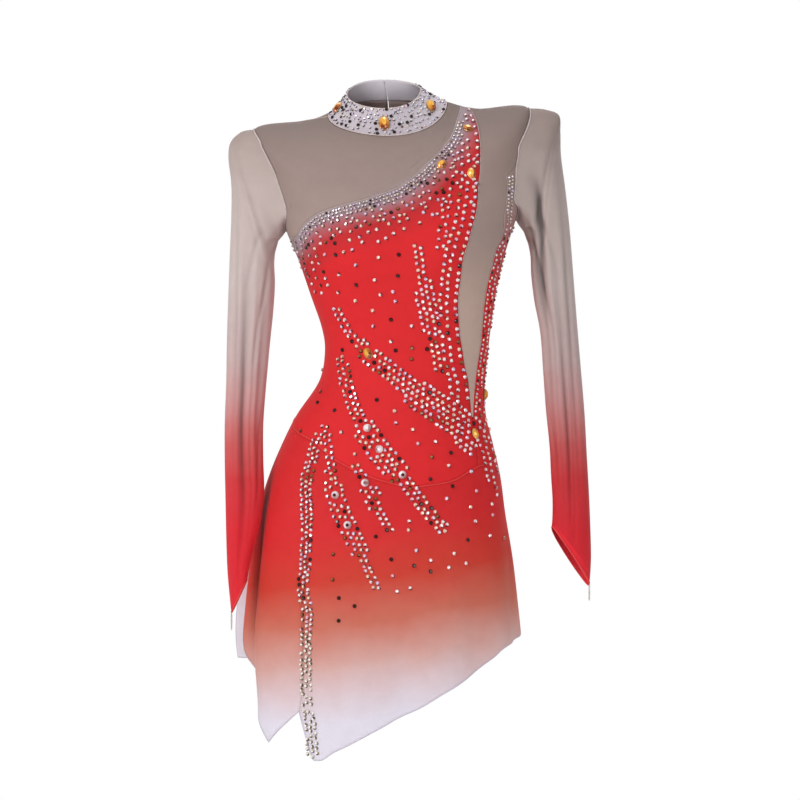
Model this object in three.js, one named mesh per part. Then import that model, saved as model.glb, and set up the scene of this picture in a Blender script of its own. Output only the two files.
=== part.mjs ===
// Figure skating dress: high collar, mesh yoke and slash, long pointed sleeves, slanted skirt.
// Millimetres, +Z up. The wearer faces -Y, so the wearer's right side is at -X.
// The origin is the middle of the neck, where the wearer's neck and shoulders hold the dress.
import * as THREE from 'three';

// Sizes that hold for every piece
const CLOTH_WALL = 1.6;
const SEAM_GAP = 0.3;
const SEAM_DRAW_IN = 0.2;
const BRIEFS_WALL = 1.4;
const BRIEFS_CLEARANCE = 3.3;
const BUST_RISE = 9;
const BUST_SPACING = 68;
const BUST_HEIGHT = -188;

// Edges are given as they are seen from the front, in the plane y = 0, from this point
const VIEW_X = 13.7;
const VIEW_Z = -383.6;
const VIEW_DISTANCE = 3200;

// Body and skirt rows from the neck down: where the side, front and back lines pass.
// square is the exponent of the section's curve and round that of its rise to the sides.
const ROW_COLUMNS = ['rightX', 'rightZ', 'leftX', 'leftZ', 'sideY', 'frontY', 'frontZ', 'backY', 'backZ',
  'square', 'round'];
const ROWS = [
  /* neck        */ [-85, 5, 79, 25, 2, -60, -29, 62, 34, 2.0, 1.0],
  /* collarbone  */ [-122, -1, 120, 16, 5, -78, -52, 77, 4, 2.1, 1.25],
  /* shoulder    */ [-186, -12, 190, 17, 8, -96, -88, 92, -40, 2.2, 1.6],
  /* arm, high   */ [-171, -60, 189, -45, 8, -106, -118, 97, -85, 2.3, 1.6],
  /* arm, low    */ [-152, -112, 184, -97, 5, -113, -146, 98, -124, 2.3, 1.6],
  /* underarm    */ [-142, -152, 172, -137, 3, -117, -173, 97, -160, 2.3, 1.6],
  /* chest       */ [-125, -192, 157, -184, 2, -115, -206, 95, -200, 2.3, 1.6],
  /* ribs        */ [-108, -241, 145, -236, 2, -103, -248, 90, -246, 2.3, 1.6],
  /* above waist */ [-93, -285, 138, -283, 2, -94, -289, 84, -288, 2.3, 1.6],
  /* waist       */ [-89, -318, 134, -318, 2, -91, -320, 82, -319, 2.3, 1.6],
  /* below waist */ [-97, -358, 130, -358, 3, -96, -359, 91, -358, 2.25, 1.6],
  /* belly       */ [-127, -403, 131, -403, 4, -103, -403, 105, -403, 2.2, 1.6],
  /* upper hip   */ [-146, -440, 140, -440, 5, -107, -440, 114, -440, 2.2, 1.6],
  /* hip         */ [-166, -488, 151, -488, 5, -109, -488, 119, -488, 2.2, 1.6],
  /* skirt 1     */ [-181, -540, 158, -540, 5, -112, -540, 122, -540, 2.2, 1.6],
  /* skirt 2     */ [-191, -600, 168, -600, 5, -116, -600, 125, -600, 2.2, 1.6],
  /* skirt 3     */ [-198, -660, 175, -660, 5, -120, -660, 128, -660, 2.2, 1.6],
  /* skirt 4     */ [-202, -720, 181, -720, 5, -123, -720, 130, -720, 2.2, 1.6],
  /* skirt 5     */ [-197, -800, 187, -800, 5, -126, -800, 132, -800, 2.2, 1.6],
  /* skirt 6     */ [-198, -900, 192, -900, 5, -129, -900, 134, -900, 2.2, 1.6],
];
const SHOULDER_LEVEL = 2;
const UNDERARM_LEVEL = 5;

// Skirt folds: turn in degrees, width in degrees, depth in mm at the hem, height where it starts
const FOLD_COLUMNS = ['turn', 'width', 'depth', 'start'];
const SKIRT_FOLDS = [
  [-73, 7, 19, -470],
  [-40, 9, 5, -560],
  [8, 10, 4, -600],
  [42, 9, 5, -560],
  [74, 8, 6, -500],
  [-118, 9, 9, -520],
  [-146, 8, 8, -540],
  [-176, 9, 9, -520],
  [-205, 8, 8, -540],
  [-236, 9, 9, -520],
];

// Panel edges as seen from the front: across, up
const ARMHOLE_RIGHT = [[-180, -26], [-174, -40], [-167, -53], [-156, -77], [-147, -104], [-142, -133]];
const ARMHOLE_LEFT = [[180, -28], [175, -51], [172, -82], [171, -112]];
const YOKE_EDGE = [[-128, -160], [-118, -144], [-101, -130], [-85, -123], [-58, -115], [-32, -108],
  [-5, -99], [12, -92], [40, -71], [55, -56], [81, -27], [92, 0]];
const SLASH_INNER_EDGE = [[118, -1], [123, -25], [124, -51], [123, -77], [121, -105], [116, -136],
  [108, -166], [101, -188], [97, -218], [94, -241], [94, -267], [97, -301], [102, -333], [107, -355],
  [110, -384], [112.4, -407]];
const SLASH_OUTER_EDGE = [[160, -77], [157, -130], [157, -144], [153, -162], [145, -179], [140, -200],
  [134, -223], [130, -245], [127, -275], [125, -301], [121, -327], [117, -355], [115, -384], [114, -407]];
const BASQUE_FRONT = [[-101, -441], [-84, -459], [-58, -475], [-30, -488], [-4, -496], [27, -503],
  [49, -501], [84, -495], [108, -482], [122, -474]];
const SKIRT_SPLIT = [[-107, -466], [-112, -493], [-115, -548], [-116, -603], [-119, -644], [-119, -685],
  [-119, -740], [-122, -795], [-125, -810]];
const SIDE_HEM = [[-151, -834], [-138, -822], [-125, -810]];
const NOTCH_EDGE = [[-125, -810], [-121, -826], [-116, -844], [-111, -863], [-105, -877]];
const MAIN_HEM = [[-105, -877], [-93, -877], [-78, -867], [-55, -856], [-12, -833], [14, -818],
  [41, -806], [71, -788], [101, -769], [140, -738], [162, -720]];

// Seam heights on the side and back lines
const YOKE_SIDE_Z = -178;
const BASQUE_RIGHT_Z = -408;
const BASQUE_LEFT_Z = -460;
const SIDE_SLIT_Z = -600;
const SKIRT_LEFT_HEM_Z = -704;
const YOKE_SHOULDER_X = 97;
const SLASH_SHOULDER_X = 108;
const BASQUE_BACK = [[-115, -437], [-145, -468], [-180, -480], [-215, -478], [-245, -469]];
const BACK_HEM = [[-98, -738], [-110, -741], [-130, -738], [-155, -731], [-180, -725], [-205, -719],
  [-230, -713], [-255, -706], [-270, -704]];
const BACK_HEM_FLARE = 12;
// Free edge of the skirt's side panel from the slit down to its point: turn, height
const SIDE_EDGE = [[-89.5, -668], [-88, -700], [-84, -724], [-78, -744], [-73, -764], [-68, -788],
  [-63, -810], [-58, -826], [-53, -841]];

// Collar rim, in the same columns as a body row
const COLLAR_RIM = { rightX: -59, rightZ: 36, leftX: 42, leftZ: 43, sideY: 3, frontY: -48, frontZ: 10,
  backY: 52, backZ: 62, square: 2.0, round: 1.0 };
const COLLAR_CLOSURE_TURN = 0.5;
const COLLAR_FOOT = 0.016;
const CLOSURE_HALF_TURN = 0.2;

// Sleeve rows from the armhole to the pointed cuff, as seen from the front
const SLEEVE_COLUMNS = ['outerX', 'outerZ', 'innerX', 'innerZ', 'centreY', 'halfDepth', 'armholeShare'];
const SLEEVE_RIGHT = [
  [-186, -12, -142, -152, 0, 48, 1],
  [-204, -16, -146, -158, 0, 46, 0.6],
  [-218, -30, -151, -164, 0, 43, 0.3],
  [-221, -52, -154, -172, 0, 41, 0.12],
  [-217, -88, -157, -183, 0, 39, 0],
  [-217, -132, -158, -198, -1, 37, 0],
  [-219, -182, -157, -224, -2, 34, 0],
  [-221, -237, -159, -260, -5, 31, 0],
  [-223, -300, -164, -312, -10, 27, 0],
  [-224, -360, -169, -364, -17, 24, 0],
  [-226, -415, -173, -416, -25, 22, 0],
  [-226, -468, -173, -466, -34, 20, 0],
  [-225, -520, -172, -512, -44, 19, 0],
  [-224, -570, -178, -555, -51, 18, 0],
  [-222, -622, -188, -594, -57, 16, 0],
  [-217, -674, -195, -629, -61, 14, 0],
];
const SLEEVE_LEFT = [
  [190, 17, 172, -137, 0, 48, 1],
  [213, 15, 176, -144, 0, 46, 0.6],
  [231, 7, 181, -151, 0, 43, 0.3],
  [233, -16, 185, -160, 0, 41, 0.12],
  [234, -50, 189, -171, 0, 39, 0],
  [240, -96, 192, -188, -1, 37, 0],
  [246, -152, 193, -214, -2, 34, 0],
  [251, -216, 197, -248, -5, 31, 0],
  [256, -280, 205, -292, -10, 27, 0],
  [261, -340, 209, -342, -16, 24, 0],
  [266, -400, 213, -396, -23, 22, 0],
  [269, -455, 218, -446, -30, 20, 0],
  [272, -508, 220, -486, -37, 19, 0],
  [274, -556, 222, -518, -43, 18, 0],
  [275, -600, 222, -542, -48, 17, 0],
  [273, -634, 221, -557, -52, 14, 0],
];
// Sleeve folds: place around the sleeve in degrees from the outer line at the top and at the end
const SLEEVE_FOLD_COLUMNS = ['around', 'aroundEnd', 'width', 'depth', 'from', 'to'];
const SLEEVE_FOLDS = [
  [8, 150, 17, 7, 1, 5],
  [75, 95, 14, 3.5, 4, 14],
  [125, 140, 13, 3, 5, 13],
  [265, 255, 15, 4, 4, 14],
  [330, 215, 18, 6, 1, 5],
];
const SLEEVE_LIFT = 0.45;

// Briefs under the skirt, attached along the skirt seam
const BRIEFS = { crotchHalf: 28, crotchShare: 0.22, crotchY: 8, crotchZ: -618, sideZ: -515,
  frontCutX: 90, frontCutY: -92, frontCutZ: -548, backCutX: 95, backCutY: 100, backCutZ: -632 };

// Stones: across, up as seen, width, length, height, lean in degrees, how far the flat cloth lies under the curve
const AMBER_COLUMNS = ['across', 'up', 'width', 'length', 'height', 'lean', 'sink'];
const AMBER_ON_COLLAR = [[-71, 16, 10, 18, 5, 10, 0], [-8, -5, 13, 18, 5.5, 8, 0], [56, 19, 12, 19, 5.5, -12, 0]];
const AMBER_ON_BODY = [[107, -12, 10, 14, 4.5, 60, 0.2], [71, -61, 10, 14, 4.5, -35, 0.7],
  [112, -73, 10, 14, 4.5, 0, 1.2], [-30, -320, 10, 14, 4.5, 30, 0.1], [116, -430, 10, 14, 4.5, 20, 0.1],
  [129, -376, 10, 14, 4.5, -20, 0.1]];
const CLEAR_STONES = [[-31, -422], [-15, -451], [17, -486], [-34, -497], [-75, -514], [-58, -555]];
const CLEAR_DIAMETER = 11;
const CLEAR_HEIGHT = 4.2;
const STONE_GAP = 0.35;

// Clear elastic finger loops under the cuff points
const LOOP = { radius: 8, length: 11, cord: 0.75, gap: 0.5 };

// Colours and surface values
const FINISH = {
  red_stretch: { color: 0xd5333a, roughness: 0.55, metalness: 0 },
  nude_mesh: { color: 0xb3a198, roughness: 0.8, metalness: 0 },
  sleeve_mesh: { color: 0xc2aca6, roughness: 0.8, metalness: 0 },
  skirt_ombre: { color: 0xcf6a62, roughness: 0.65, metalness: 0 },
  silver_collar: { color: 0xc8bcc6, roughness: 0.5, metalness: 0 },
  amber_stone: { color: 0xd78c14, roughness: 0.12, metalness: 0 },
  clear_stone: { color: 0xe8eef2, roughness: 0.05, metalness: 0 },
  clear_elastic: { color: 0xf0f0f0, roughness: 0.35, metalness: 0 },
};

const group = new THREE.Group();
const radians = THREE.MathUtils.degToRad;

// Names the columns of a table row
function named(columns, row) {
  return Object.fromEntries(columns.map((column, k) => [column, row[k]]));
}

const BODY_ROWS = ROWS.map((row) => named(ROW_COLUMNS, row));
const FOLDS = SKIRT_FOLDS.map((row) => named(FOLD_COLUMNS, row));
const LAST_LEVEL = BODY_ROWS.length - 1;

// A value between table rows, by a smooth curve through the rows
function between(rows, column, level) {
  const k = Math.min(Math.max(Math.floor(level), 0), rows.length - 2);
  const t = level - k;
  const value = (n) => rows[Math.min(Math.max(n, 0), rows.length - 1)][column];
  const [a, b, c, d] = [value(k - 1), value(k), value(k + 1), value(k + 2)];
  const slopeB = (c - a) / 2;
  const slopeC = (d - b) / 2;
  const t2 = t * t;
  const t3 = t2 * t;
  return b * (2 * t3 - 3 * t2 + 1) + slopeB * (t3 - 2 * t2 + t) + c * (3 * t2 - 2 * t3) + slopeC * (t3 - t2);
}

// The point of one section at a turn: 0 is the front, -90 the wearer's right, 180 the back
function sectionPoint(row, turn) {
  const angle = radians(turn);
  const s = Math.sin(angle);
  const c = Math.cos(angle);
  const r = (Math.abs(s) ** row.square + Math.abs(c) ** row.square) ** (-1 / row.square);
  const depth = Math.abs(c) * r;
  const lift = depth ** row.round;
  const sideZ = row.rightZ + (row.leftZ - row.rightZ) * (1 + s * r) / 2;
  const endY = c >= 0 ? row.frontY : row.backY;
  const endZ = c >= 0 ? row.frontZ : row.backZ;
  const middle = (row.rightX + row.leftX) / 2;
  const half = (row.leftX - row.rightX) / 2;
  return new THREE.Vector3(middle + half * s * r, row.sideY + (endY - row.sideY) * depth,
    sideZ + (endZ - sideZ) * lift);
}

// How far the skirt folds draw the cloth in at a turn and a height
function foldDepth(turn, z) {
  let sum = 0;
  for (const fold of FOLDS) {
    const along = Math.min(Math.max((fold.start - z) / 200, 0), 1);
    let away = (turn - fold.turn) % 360;
    if (away > 180) away -= 360;
    if (away < -180) away += 360;
    sum += fold.depth * along * along * (3 - 2 * along) * Math.exp(-((away / fold.width) ** 2));
  }
  return sum;
}

// The dress surface: body from the neck to the hip, skirt below it
function dressPoint(turn, level) {
  const row = Object.fromEntries(ROW_COLUMNS.map((column) => [column, between(BODY_ROWS, column, level)]));
  const point = sectionPoint(row, turn);
  const middle = (row.rightX + row.leftX) / 2;
  if (Math.cos(radians(turn)) > 0) {
    const down = Math.exp(-(((point.z - BUST_HEIGHT) / 48) ** 2));
    const right = Math.exp(-(((point.x - middle + BUST_SPACING) / 44) ** 2));
    const left = Math.exp(-(((point.x - middle - BUST_SPACING) / 44) ** 2));
    point.y -= BUST_RISE * down * (right + left) * Math.cos(radians(turn));
  }
  const away = new THREE.Vector3(point.x - middle, point.y, 0).normalize();
  return point.addScaledVector(away, -foldDepth(turn, point.z));
}

// The back of the skirt springs out beside its open right edge
function backPoint(turn, level) {
  const point = dressPoint(turn, level);
  const down = Math.min(Math.max((SIDE_SLIT_Z - point.z) / 60, 0), 1);
  const near = Math.exp(-(((turn + 92) / 14) ** 2));
  point.x -= BACK_HEM_FLARE * down * near;
  return point;
}

// The collar surface, from the neck seam at level 0 to the rim at level 1
function collarPoint(turn, level) {
  const foot = sectionPoint(BODY_ROWS[0], turn);
  const rim = sectionPoint(COLLAR_RIM, turn);
  const waistIn = -2.5 * 4 * level * (1 - level);
  const away = new THREE.Vector3(foot.x, foot.y, 0).normalize();
  return foot.lerp(rim, level).addScaledVector(away, waistIn);
}

// Moves a position seen in the plane y = 0 along its line of sight to the depth y
function sight(across, up, y) {
  const scale = 1 + y / VIEW_DISTANCE;
  return new THREE.Vector3(VIEW_X + (across - VIEW_X) * scale, y, VIEW_Z + (up - VIEW_Z) * scale);
}

// Turn and level where a position seen from the front lies on a surface
function place(surface, across, up, lastLevel = LAST_LEVEL) {
  const miss = (turn, level) => {
    const point = surface(turn, level);
    const target = sight(across, up, point.y);
    return [point.x - target.x, point.z - target.z];
  };
  let best = [0, 0, Infinity];
  for (let turn = -88; turn <= 88; turn += 8) {
    for (let level = 0; level <= lastLevel; level += lastLevel / 38) {
      const [dx, dz] = miss(turn, level);
      const size = Math.hypot(dx, dz);
      if (size < best[2]) best = [turn, level, size];
    }
  }
  let [turn, level] = best;
  let damping = 1;
  for (let step = 0; step < 60; step += 1) {
    const [x0, z0] = miss(turn, level);
    const [x1, z1] = miss(turn + 0.05, level);
    const [x2, z2] = miss(turn, level + 0.001);
    const a = (x1 - x0) / 0.05;
    const b = (x2 - x0) / 0.001;
    const c = (z1 - z0) / 0.05;
    const d = (z2 - z0) / 0.001;
    const m11 = a * a + c * c + damping * 0.01;
    const m22 = b * b + d * d + damping;
    const m12 = a * b + c * d;
    const g1 = a * x0 + c * z0;
    const g2 = b * x0 + d * z0;
    const det = m11 * m22 - m12 * m12;
    const nextTurn = Math.min(Math.max(turn - (m22 * g1 - m12 * g2) / det, -90), 90);
    const nextLevel = Math.min(Math.max(level - (m11 * g2 - m12 * g1) / det, 0), lastLevel);
    const [nx, nz] = miss(nextTurn, nextLevel);
    if (Math.hypot(nx, nz) < Math.hypot(x0, z0)) {
      turn = nextTurn;
      level = nextLevel;
      damping *= 0.3;
    } else {
      damping *= 4;
    }
  }
  return [turn, level];
}

// The level where the line at one turn passes a height or a distance across
function levelWhere(turn, axis, value, from, to) {
  const rising = dressPoint(turn, to)[axis] > dressPoint(turn, from)[axis];
  let low = from;
  let high = to;
  for (let step = 0; step < 50; step += 1) {
    const middle = (low + high) / 2;
    if ((dressPoint(turn, middle)[axis] < value) === rising) low = middle;
    else high = middle;
  }
  return (low + high) / 2;
}

const atHeight = (turn, z) => [turn, levelWhere(turn, 'z', z, UNDERARM_LEVEL - 1, LAST_LEVEL)];
const seen = (list) => list.map(([across, up]) => place(dressPoint, across, up));

// Spreads points evenly along a line of turn and level pairs, joined by a smooth curve
function spread(line, count, surface = dressPoint) {
  const rows = line.map(([turn, level]) => ({ turn, level }));
  const turns = line.map(([turn]) => turn);
  const lowest = Math.min(...turns);
  const highest = Math.max(...turns);
  const fine = [];
  const steps = 24 * (line.length - 1);
  for (let k = 0; k <= steps; k += 1) {
    const at = (k / steps) * (line.length - 1);
    const turn = Math.min(Math.max(between(rows, 'turn', at), lowest), highest);
    fine.push([turn, between(rows, 'level', at)]);
  }
  const run = [0];
  for (let k = 1; k <= steps; k += 1) {
    run.push(run[k - 1] + surface(...fine[k]).distanceTo(surface(...fine[k - 1])));
  }
  const result = [];
  for (let n = 0; n <= count; n += 1) {
    const goal = (run[steps] * n) / count;
    let k = 1;
    while (k < steps && run[k] < goal) k += 1;
    const t = (goal - run[k - 1]) / (run[k] - run[k - 1]);
    result.push([0, 1].map((axis) => fine[k - 1][axis] + (fine[k][axis] - fine[k - 1][axis]) * t));
  }
  return result;
}

// Joins lines end to end
function join(...lines) {
  return lines.reduce((all, line) => (all.length ? all.concat(line.slice(1)) : line.slice()), []);
}

const reversed = (line) => line.slice().reverse();
const mirrorToBack = (line, side) => line.map(([turn, level]) => [side * 180 - turn, level]);

// Length down the body at each row, as the mean of the two sides and the front
const DOWN = [0];
for (let k = 1; k <= LAST_LEVEL; k += 1) {
  const lengths = [-90, 0, 90].map((turn) => dressPoint(turn, k).distanceTo(dressPoint(turn, k - 1)));
  DOWN.push(DOWN[k - 1] + (lengths[0] + lengths[1] + lengths[2]) / 3);
}

function downAt(level) {
  const k = Math.min(Math.floor(level), LAST_LEVEL - 1);
  return DOWN[k] + (DOWN[k + 1] - DOWN[k]) * (level - k);
}

function levelAt(down) {
  let k = 0;
  while (k < LAST_LEVEL - 1 && DOWN[k + 1] < down) k += 1;
  return k + (down - DOWN[k]) / (DOWN[k + 1] - DOWN[k]);
}

// Fills a panel between its four edges: top and bottom run one way, left and right the other
function fillPanel(...edges) {
  const [top, bottom, left, right] = edges.map((edge) => edge.map(([turn, level]) => [turn, downAt(level)]));
  const across = top.length - 1;
  const down = left.length - 1;
  if (bottom.length !== top.length || right.length !== left.length) throw new Error('edges differ');
  const grid = [];
  for (let i = 0; i <= across; i += 1) {
    grid.push([]);
    for (let j = 0; j <= down; j += 1) {
      const u = i / across;
      const v = j / down;
      grid[i].push([0, 1].map((axis) => (1 - v) * top[i][axis] + v * bottom[i][axis]
        + (1 - u) * left[j][axis] + u * right[j][axis]
        - (1 - u) * (1 - v) * top[0][axis] - u * (1 - v) * top[across][axis]
        - (1 - u) * v * bottom[0][axis] - u * v * bottom[across][axis]));
    }
  }
  return grid.map((column) => column.map(([turn, down]) => [turn, levelAt(down)]));
}

// Draws the edges of a panel in, so that the curved seams stay a seam gap apart all along
function insetPanel(grid, surface) {
  const across = grid.length - 1;
  const down = grid[0].length - 1;
  const result = grid.map((column) => column.map((pair) => pair.slice()));
  const pull = (i, j, towardI, towardJ, alongI, alongJ) => {
    const here = surface(...grid[i][j]);
    const step = surface(...grid[towardI][towardJ]).sub(here);
    const along = surface(...grid[alongI][alongJ]).sub(here);
    const sine = Math.max(step.clone().cross(along).length() / (step.length() * along.length()), 0.15);
    const share = Math.min(SEAM_DRAW_IN / sine / step.length(), 0.45);
    [0, 1].forEach((axis) => {
      result[i][j][axis] += (grid[towardI][towardJ][axis] - grid[i][j][axis]) * share;
    });
  };
  for (let j = 0; j <= down; j += 1) {
    const beside = j < down ? j + 1 : j - 1;
    pull(0, j, 1, j, 0, beside);
    pull(across, j, across - 1, j, across, beside);
  }
  for (let i = 0; i <= across; i += 1) {
    const beside = i < across ? i + 1 : i - 1;
    pull(i, 0, i, 1, beside, 0);
    pull(i, down, i, down - 1, beside, down);
  }
  return result;
}

// A closed wall from a grid of outer points and the grid of inner points behind them
function wallGeometry(outer, inner, closed) {
  const across = outer.length - (closed ? 0 : 1);
  const columns = outer.length;
  const down = outer[0].length - 1;
  const positions = [];
  for (const grid of [outer, inner]) {
    grid.forEach((column) => column.forEach((point) => positions.push(point.x, point.y, point.z)));
  }
  const half = columns * (down + 1);
  const index = (layer, i, j) => layer * half + (i % columns) * (down + 1) + j;
  const faces = [];
  const quad = (a, b, c, d) => faces.push(a, b, c, a, c, d);
  for (let i = 0; i < across; i += 1) {
    for (let j = 0; j < down; j += 1) {
      quad(index(0, i, j), index(0, i + 1, j), index(0, i + 1, j + 1), index(0, i, j + 1));
      quad(index(1, i, j), index(1, i, j + 1), index(1, i + 1, j + 1), index(1, i + 1, j));
    }
    quad(index(0, i, 0), index(1, i, 0), index(1, i + 1, 0), index(0, i + 1, 0));
    quad(index(0, i, down), index(0, i + 1, down), index(1, i + 1, down), index(1, i, down));
  }
  for (let j = 0; j < down && !closed; j += 1) {
    quad(index(0, 0, j), index(0, 0, j + 1), index(1, 0, j + 1), index(1, 0, j));
    quad(index(0, across, j), index(1, across, j), index(1, across, j + 1), index(0, across, j + 1));
  }
  let volume = 0;
  for (let k = 0; k < faces.length; k += 3) {
    const [a, b, c] = [0, 1, 2].map((n) => new THREE.Vector3().fromArray(positions, 3 * faces[k + n]));
    volume += a.dot(b.cross(c)) / 6;
  }
  if (volume < 0) {
    for (let k = 0; k < faces.length; k += 3) [faces[k], faces[k + 1]] = [faces[k + 1], faces[k]];
  }
  const geometry = new THREE.BufferGeometry();
  geometry.setAttribute('position', new THREE.Float32BufferAttribute(positions, 3));
  geometry.setIndex(faces);
  geometry.computeVertexNormals();
  return geometry;
}

// The outward direction of a surface at a turn and level
function outwardAt(surface, turn, level) {
  const aside = surface(turn + 0.4, level).sub(surface(turn - 0.4, level));
  const down = surface(turn, level + 0.01).sub(surface(turn, level - 0.01));
  return down.cross(aside).normalize();
}

function addMesh(name, geometry, finish) {
  const mesh = new THREE.Mesh(geometry, new THREE.MeshStandardMaterial(FINISH[finish]));
  mesh.name = name;
  group.add(mesh);
  return mesh;
}

// A cloth panel: the grid's outer points and a wall of even thickness inside them
function addPanel(name, grid, finish, surface = dressPoint, wall = CLOTH_WALL) {
  const drawn = insetPanel(grid, surface);
  const outer = drawn.map((column) => column.map((pair) => surface(...pair)));
  const inner = drawn.map((column) => column.map(
    (pair) => surface(...pair).addScaledVector(outwardAt(surface, ...pair), -wall)));
  addMesh(name, wallGeometry(outer, inner, false), finish);
}

// Seam lines on the body, as turn and level pairs
const neckFront = spread([[-90, 0], [-45, 0], [0, 0], [45, 0], [90, 0]], 12);
const rightShoulder = spread([[-90, SHOULDER_LEVEL], [-90, 1], [-90, 0]], 5);
const yokeShoulderLevel = levelWhere(90, 'x', YOKE_SHOULDER_X, 0, SHOULDER_LEVEL);
const slashShoulderLevel = levelWhere(90, 'x', SLASH_SHOULDER_X, 0, SHOULDER_LEVEL);
const yokeShoulder = [90, yokeShoulderLevel];
const slashShoulder = [90, slashShoulderLevel];
const slashTop = spread([slashShoulder, [90, SHOULDER_LEVEL]], 4);
const armholeRightLine = [[-90, SHOULDER_LEVEL], ...seen(ARMHOLE_RIGHT), [-90, UNDERARM_LEVEL]];
const armholeLeftLine = [[90, SHOULDER_LEVEL], ...seen(ARMHOLE_LEFT), [90, UNDERARM_LEVEL]];
const armholeRight = spread(armholeRightLine, 12);
const armholeLeft = spread(armholeLeftLine, 12);
const yokeSide = atHeight(-90, YOKE_SIDE_Z);
const basqueRight = atHeight(-90, BASQUE_RIGHT_Z);
const basqueLeft = atHeight(90, BASQUE_LEFT_Z);
const sideAboveYoke = spread([[-90, UNDERARM_LEVEL], yokeSide], 2);
const sideRight = spread([yokeSide, [-90, (yokeSide[1] + basqueRight[1]) / 2], basqueRight], 25);
const sideLeft = spread([[90, UNDERARM_LEVEL], [90, (UNDERARM_LEVEL + basqueLeft[1]) / 2], basqueLeft], 11);
const yokeEdge = spread([yokeSide, ...seen(YOKE_EDGE), yokeShoulder], 17);
const slashInner = spread([slashShoulder, ...seen(SLASH_INNER_EDGE)], 20);
const slashTipInner = slashInner[slashInner.length - 1];
const slashOuterPoints = seen(SLASH_OUTER_EDGE);
const slashOuter = spread(slashOuterPoints, 13);
const slashTipOuter = slashOuter[slashOuter.length - 1];
const basqueLine = [basqueRight, ...seen(BASQUE_FRONT), basqueLeft];
const basqueFrontRight = spread(basqueLine.slice(0, 2), 5);
const basqueFrontMain = spread(basqueLine.slice(1, 11), 12);
const basqueFrontSide = spread(basqueLine.slice(10), 4);
const slashTipToBasque = spread([slashTipOuter, basqueLine[10]], 4);
const backSeam = BASQUE_BACK.map(([turn, z]) => atHeight(turn, z));
const backSeamRight = spread([basqueRight, ...backSeam.slice(0, 3)], 11);
const backSeamLeft = spread([...backSeam.slice(2), [-270, basqueLeft[1]]], 12);

// Collar: one standing band, open at the middle of the back
function buildCollar() {
  const grid = [];
  const start = -180 + COLLAR_CLOSURE_TURN;
  for (let i = 0; i <= 32; i += 1) {
    const turn = start + (i / 32) * (360 - 2 * COLLAR_CLOSURE_TURN);
    grid.push([0, 1, 2, 3].map((j) => [turn, COLLAR_FOOT + (1 - COLLAR_FOOT) * (j / 3)]));
  }
  const outer = grid.map((column) => column.map((pair) => collarPoint(...pair)));
  const inner = grid.map((column) => column.map(
    (pair) => collarPoint(...pair).addScaledVector(outwardAt(collarPoint, ...pair), CLOTH_WALL)));
  addMesh('collar', wallGeometry(outer, inner, false), 'silver_collar');
}

// Front of the body: mesh yoke, red front, mesh slash and red side
function buildFront() {
  const neckToYoke = spread([[90, 0], yokeShoulder], 14);
  addPanel('yoke_front', fillPanel(join(rightShoulder, neckFront), yokeEdge,
    join(armholeRight, sideAboveYoke), neckToYoke), 'nude_mesh');
  addPanel('bodice_front', fillPanel(yokeEdge, join(basqueFrontRight, basqueFrontMain), sideRight,
    join([yokeShoulder, slashShoulder], slashInner, slashTipToBasque)), 'red_stretch');
  addPanel('slash_front', fillPanel(slashTop, spread([slashTipInner, slashTipOuter], 4), slashInner,
    join(armholeLeft.slice(0, 7), [armholeLeft[6], slashOuter[0]], slashOuter)), 'nude_mesh');
  addPanel('bodice_side', fillPanel(spread([slashOuter[0], armholeLeft[6]], 4), basqueFrontSide,
    join(slashOuter, slashTipToBasque), join(armholeLeft.slice(6), sideLeft)), 'red_stretch');
}

// Back of the body: two halves that meet at the closure down the middle
function buildBack() {
  const closureEnd = backSeam[2];
  const closureLine = (turn, count) => {
    const line = [];
    for (let level = 0; level < closureEnd[1] - 0.3; level += 1) line.push([turn, level]);
    return spread([...line, [turn, closureEnd[1]]], count);
  };
  const turnRight = -180 + CLOSURE_HALF_TURN;
  const turnLeft = -180 - CLOSURE_HALF_TURN;
  const neckRight = spread([[-90, 0], [-135, 0], [turnRight, 0]], 6);
  addPanel('back_right', fillPanel(join(rightShoulder, neckRight),
    [...backSeamRight.slice(0, -1), [turnRight, closureEnd[1]]],
    join(mirrorToBack(armholeRight, -1), sideAboveYoke, sideRight), closureLine(turnRight, 39)), 'red_stretch');
  const atLeft = (line) => line.map(([turn, level]) => [turn - 360, level]);
  const neckLeft = spread([[turnLeft, 0], [-225, 0], [-270, 0]], 6);
  const leftShoulder = atLeft(join(spread([[90, 0], yokeShoulder], 1), [yokeShoulder, slashShoulder], slashTop));
  addPanel('back_left', fillPanel(join(neckLeft, leftShoulder),
    [[turnLeft, closureEnd[1]], ...backSeamLeft.slice(1)], closureLine(turnLeft, 23),
    join(atLeft(mirrorToBack(armholeLeft, 1)), atLeft(sideLeft))), 'red_stretch');
}

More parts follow.
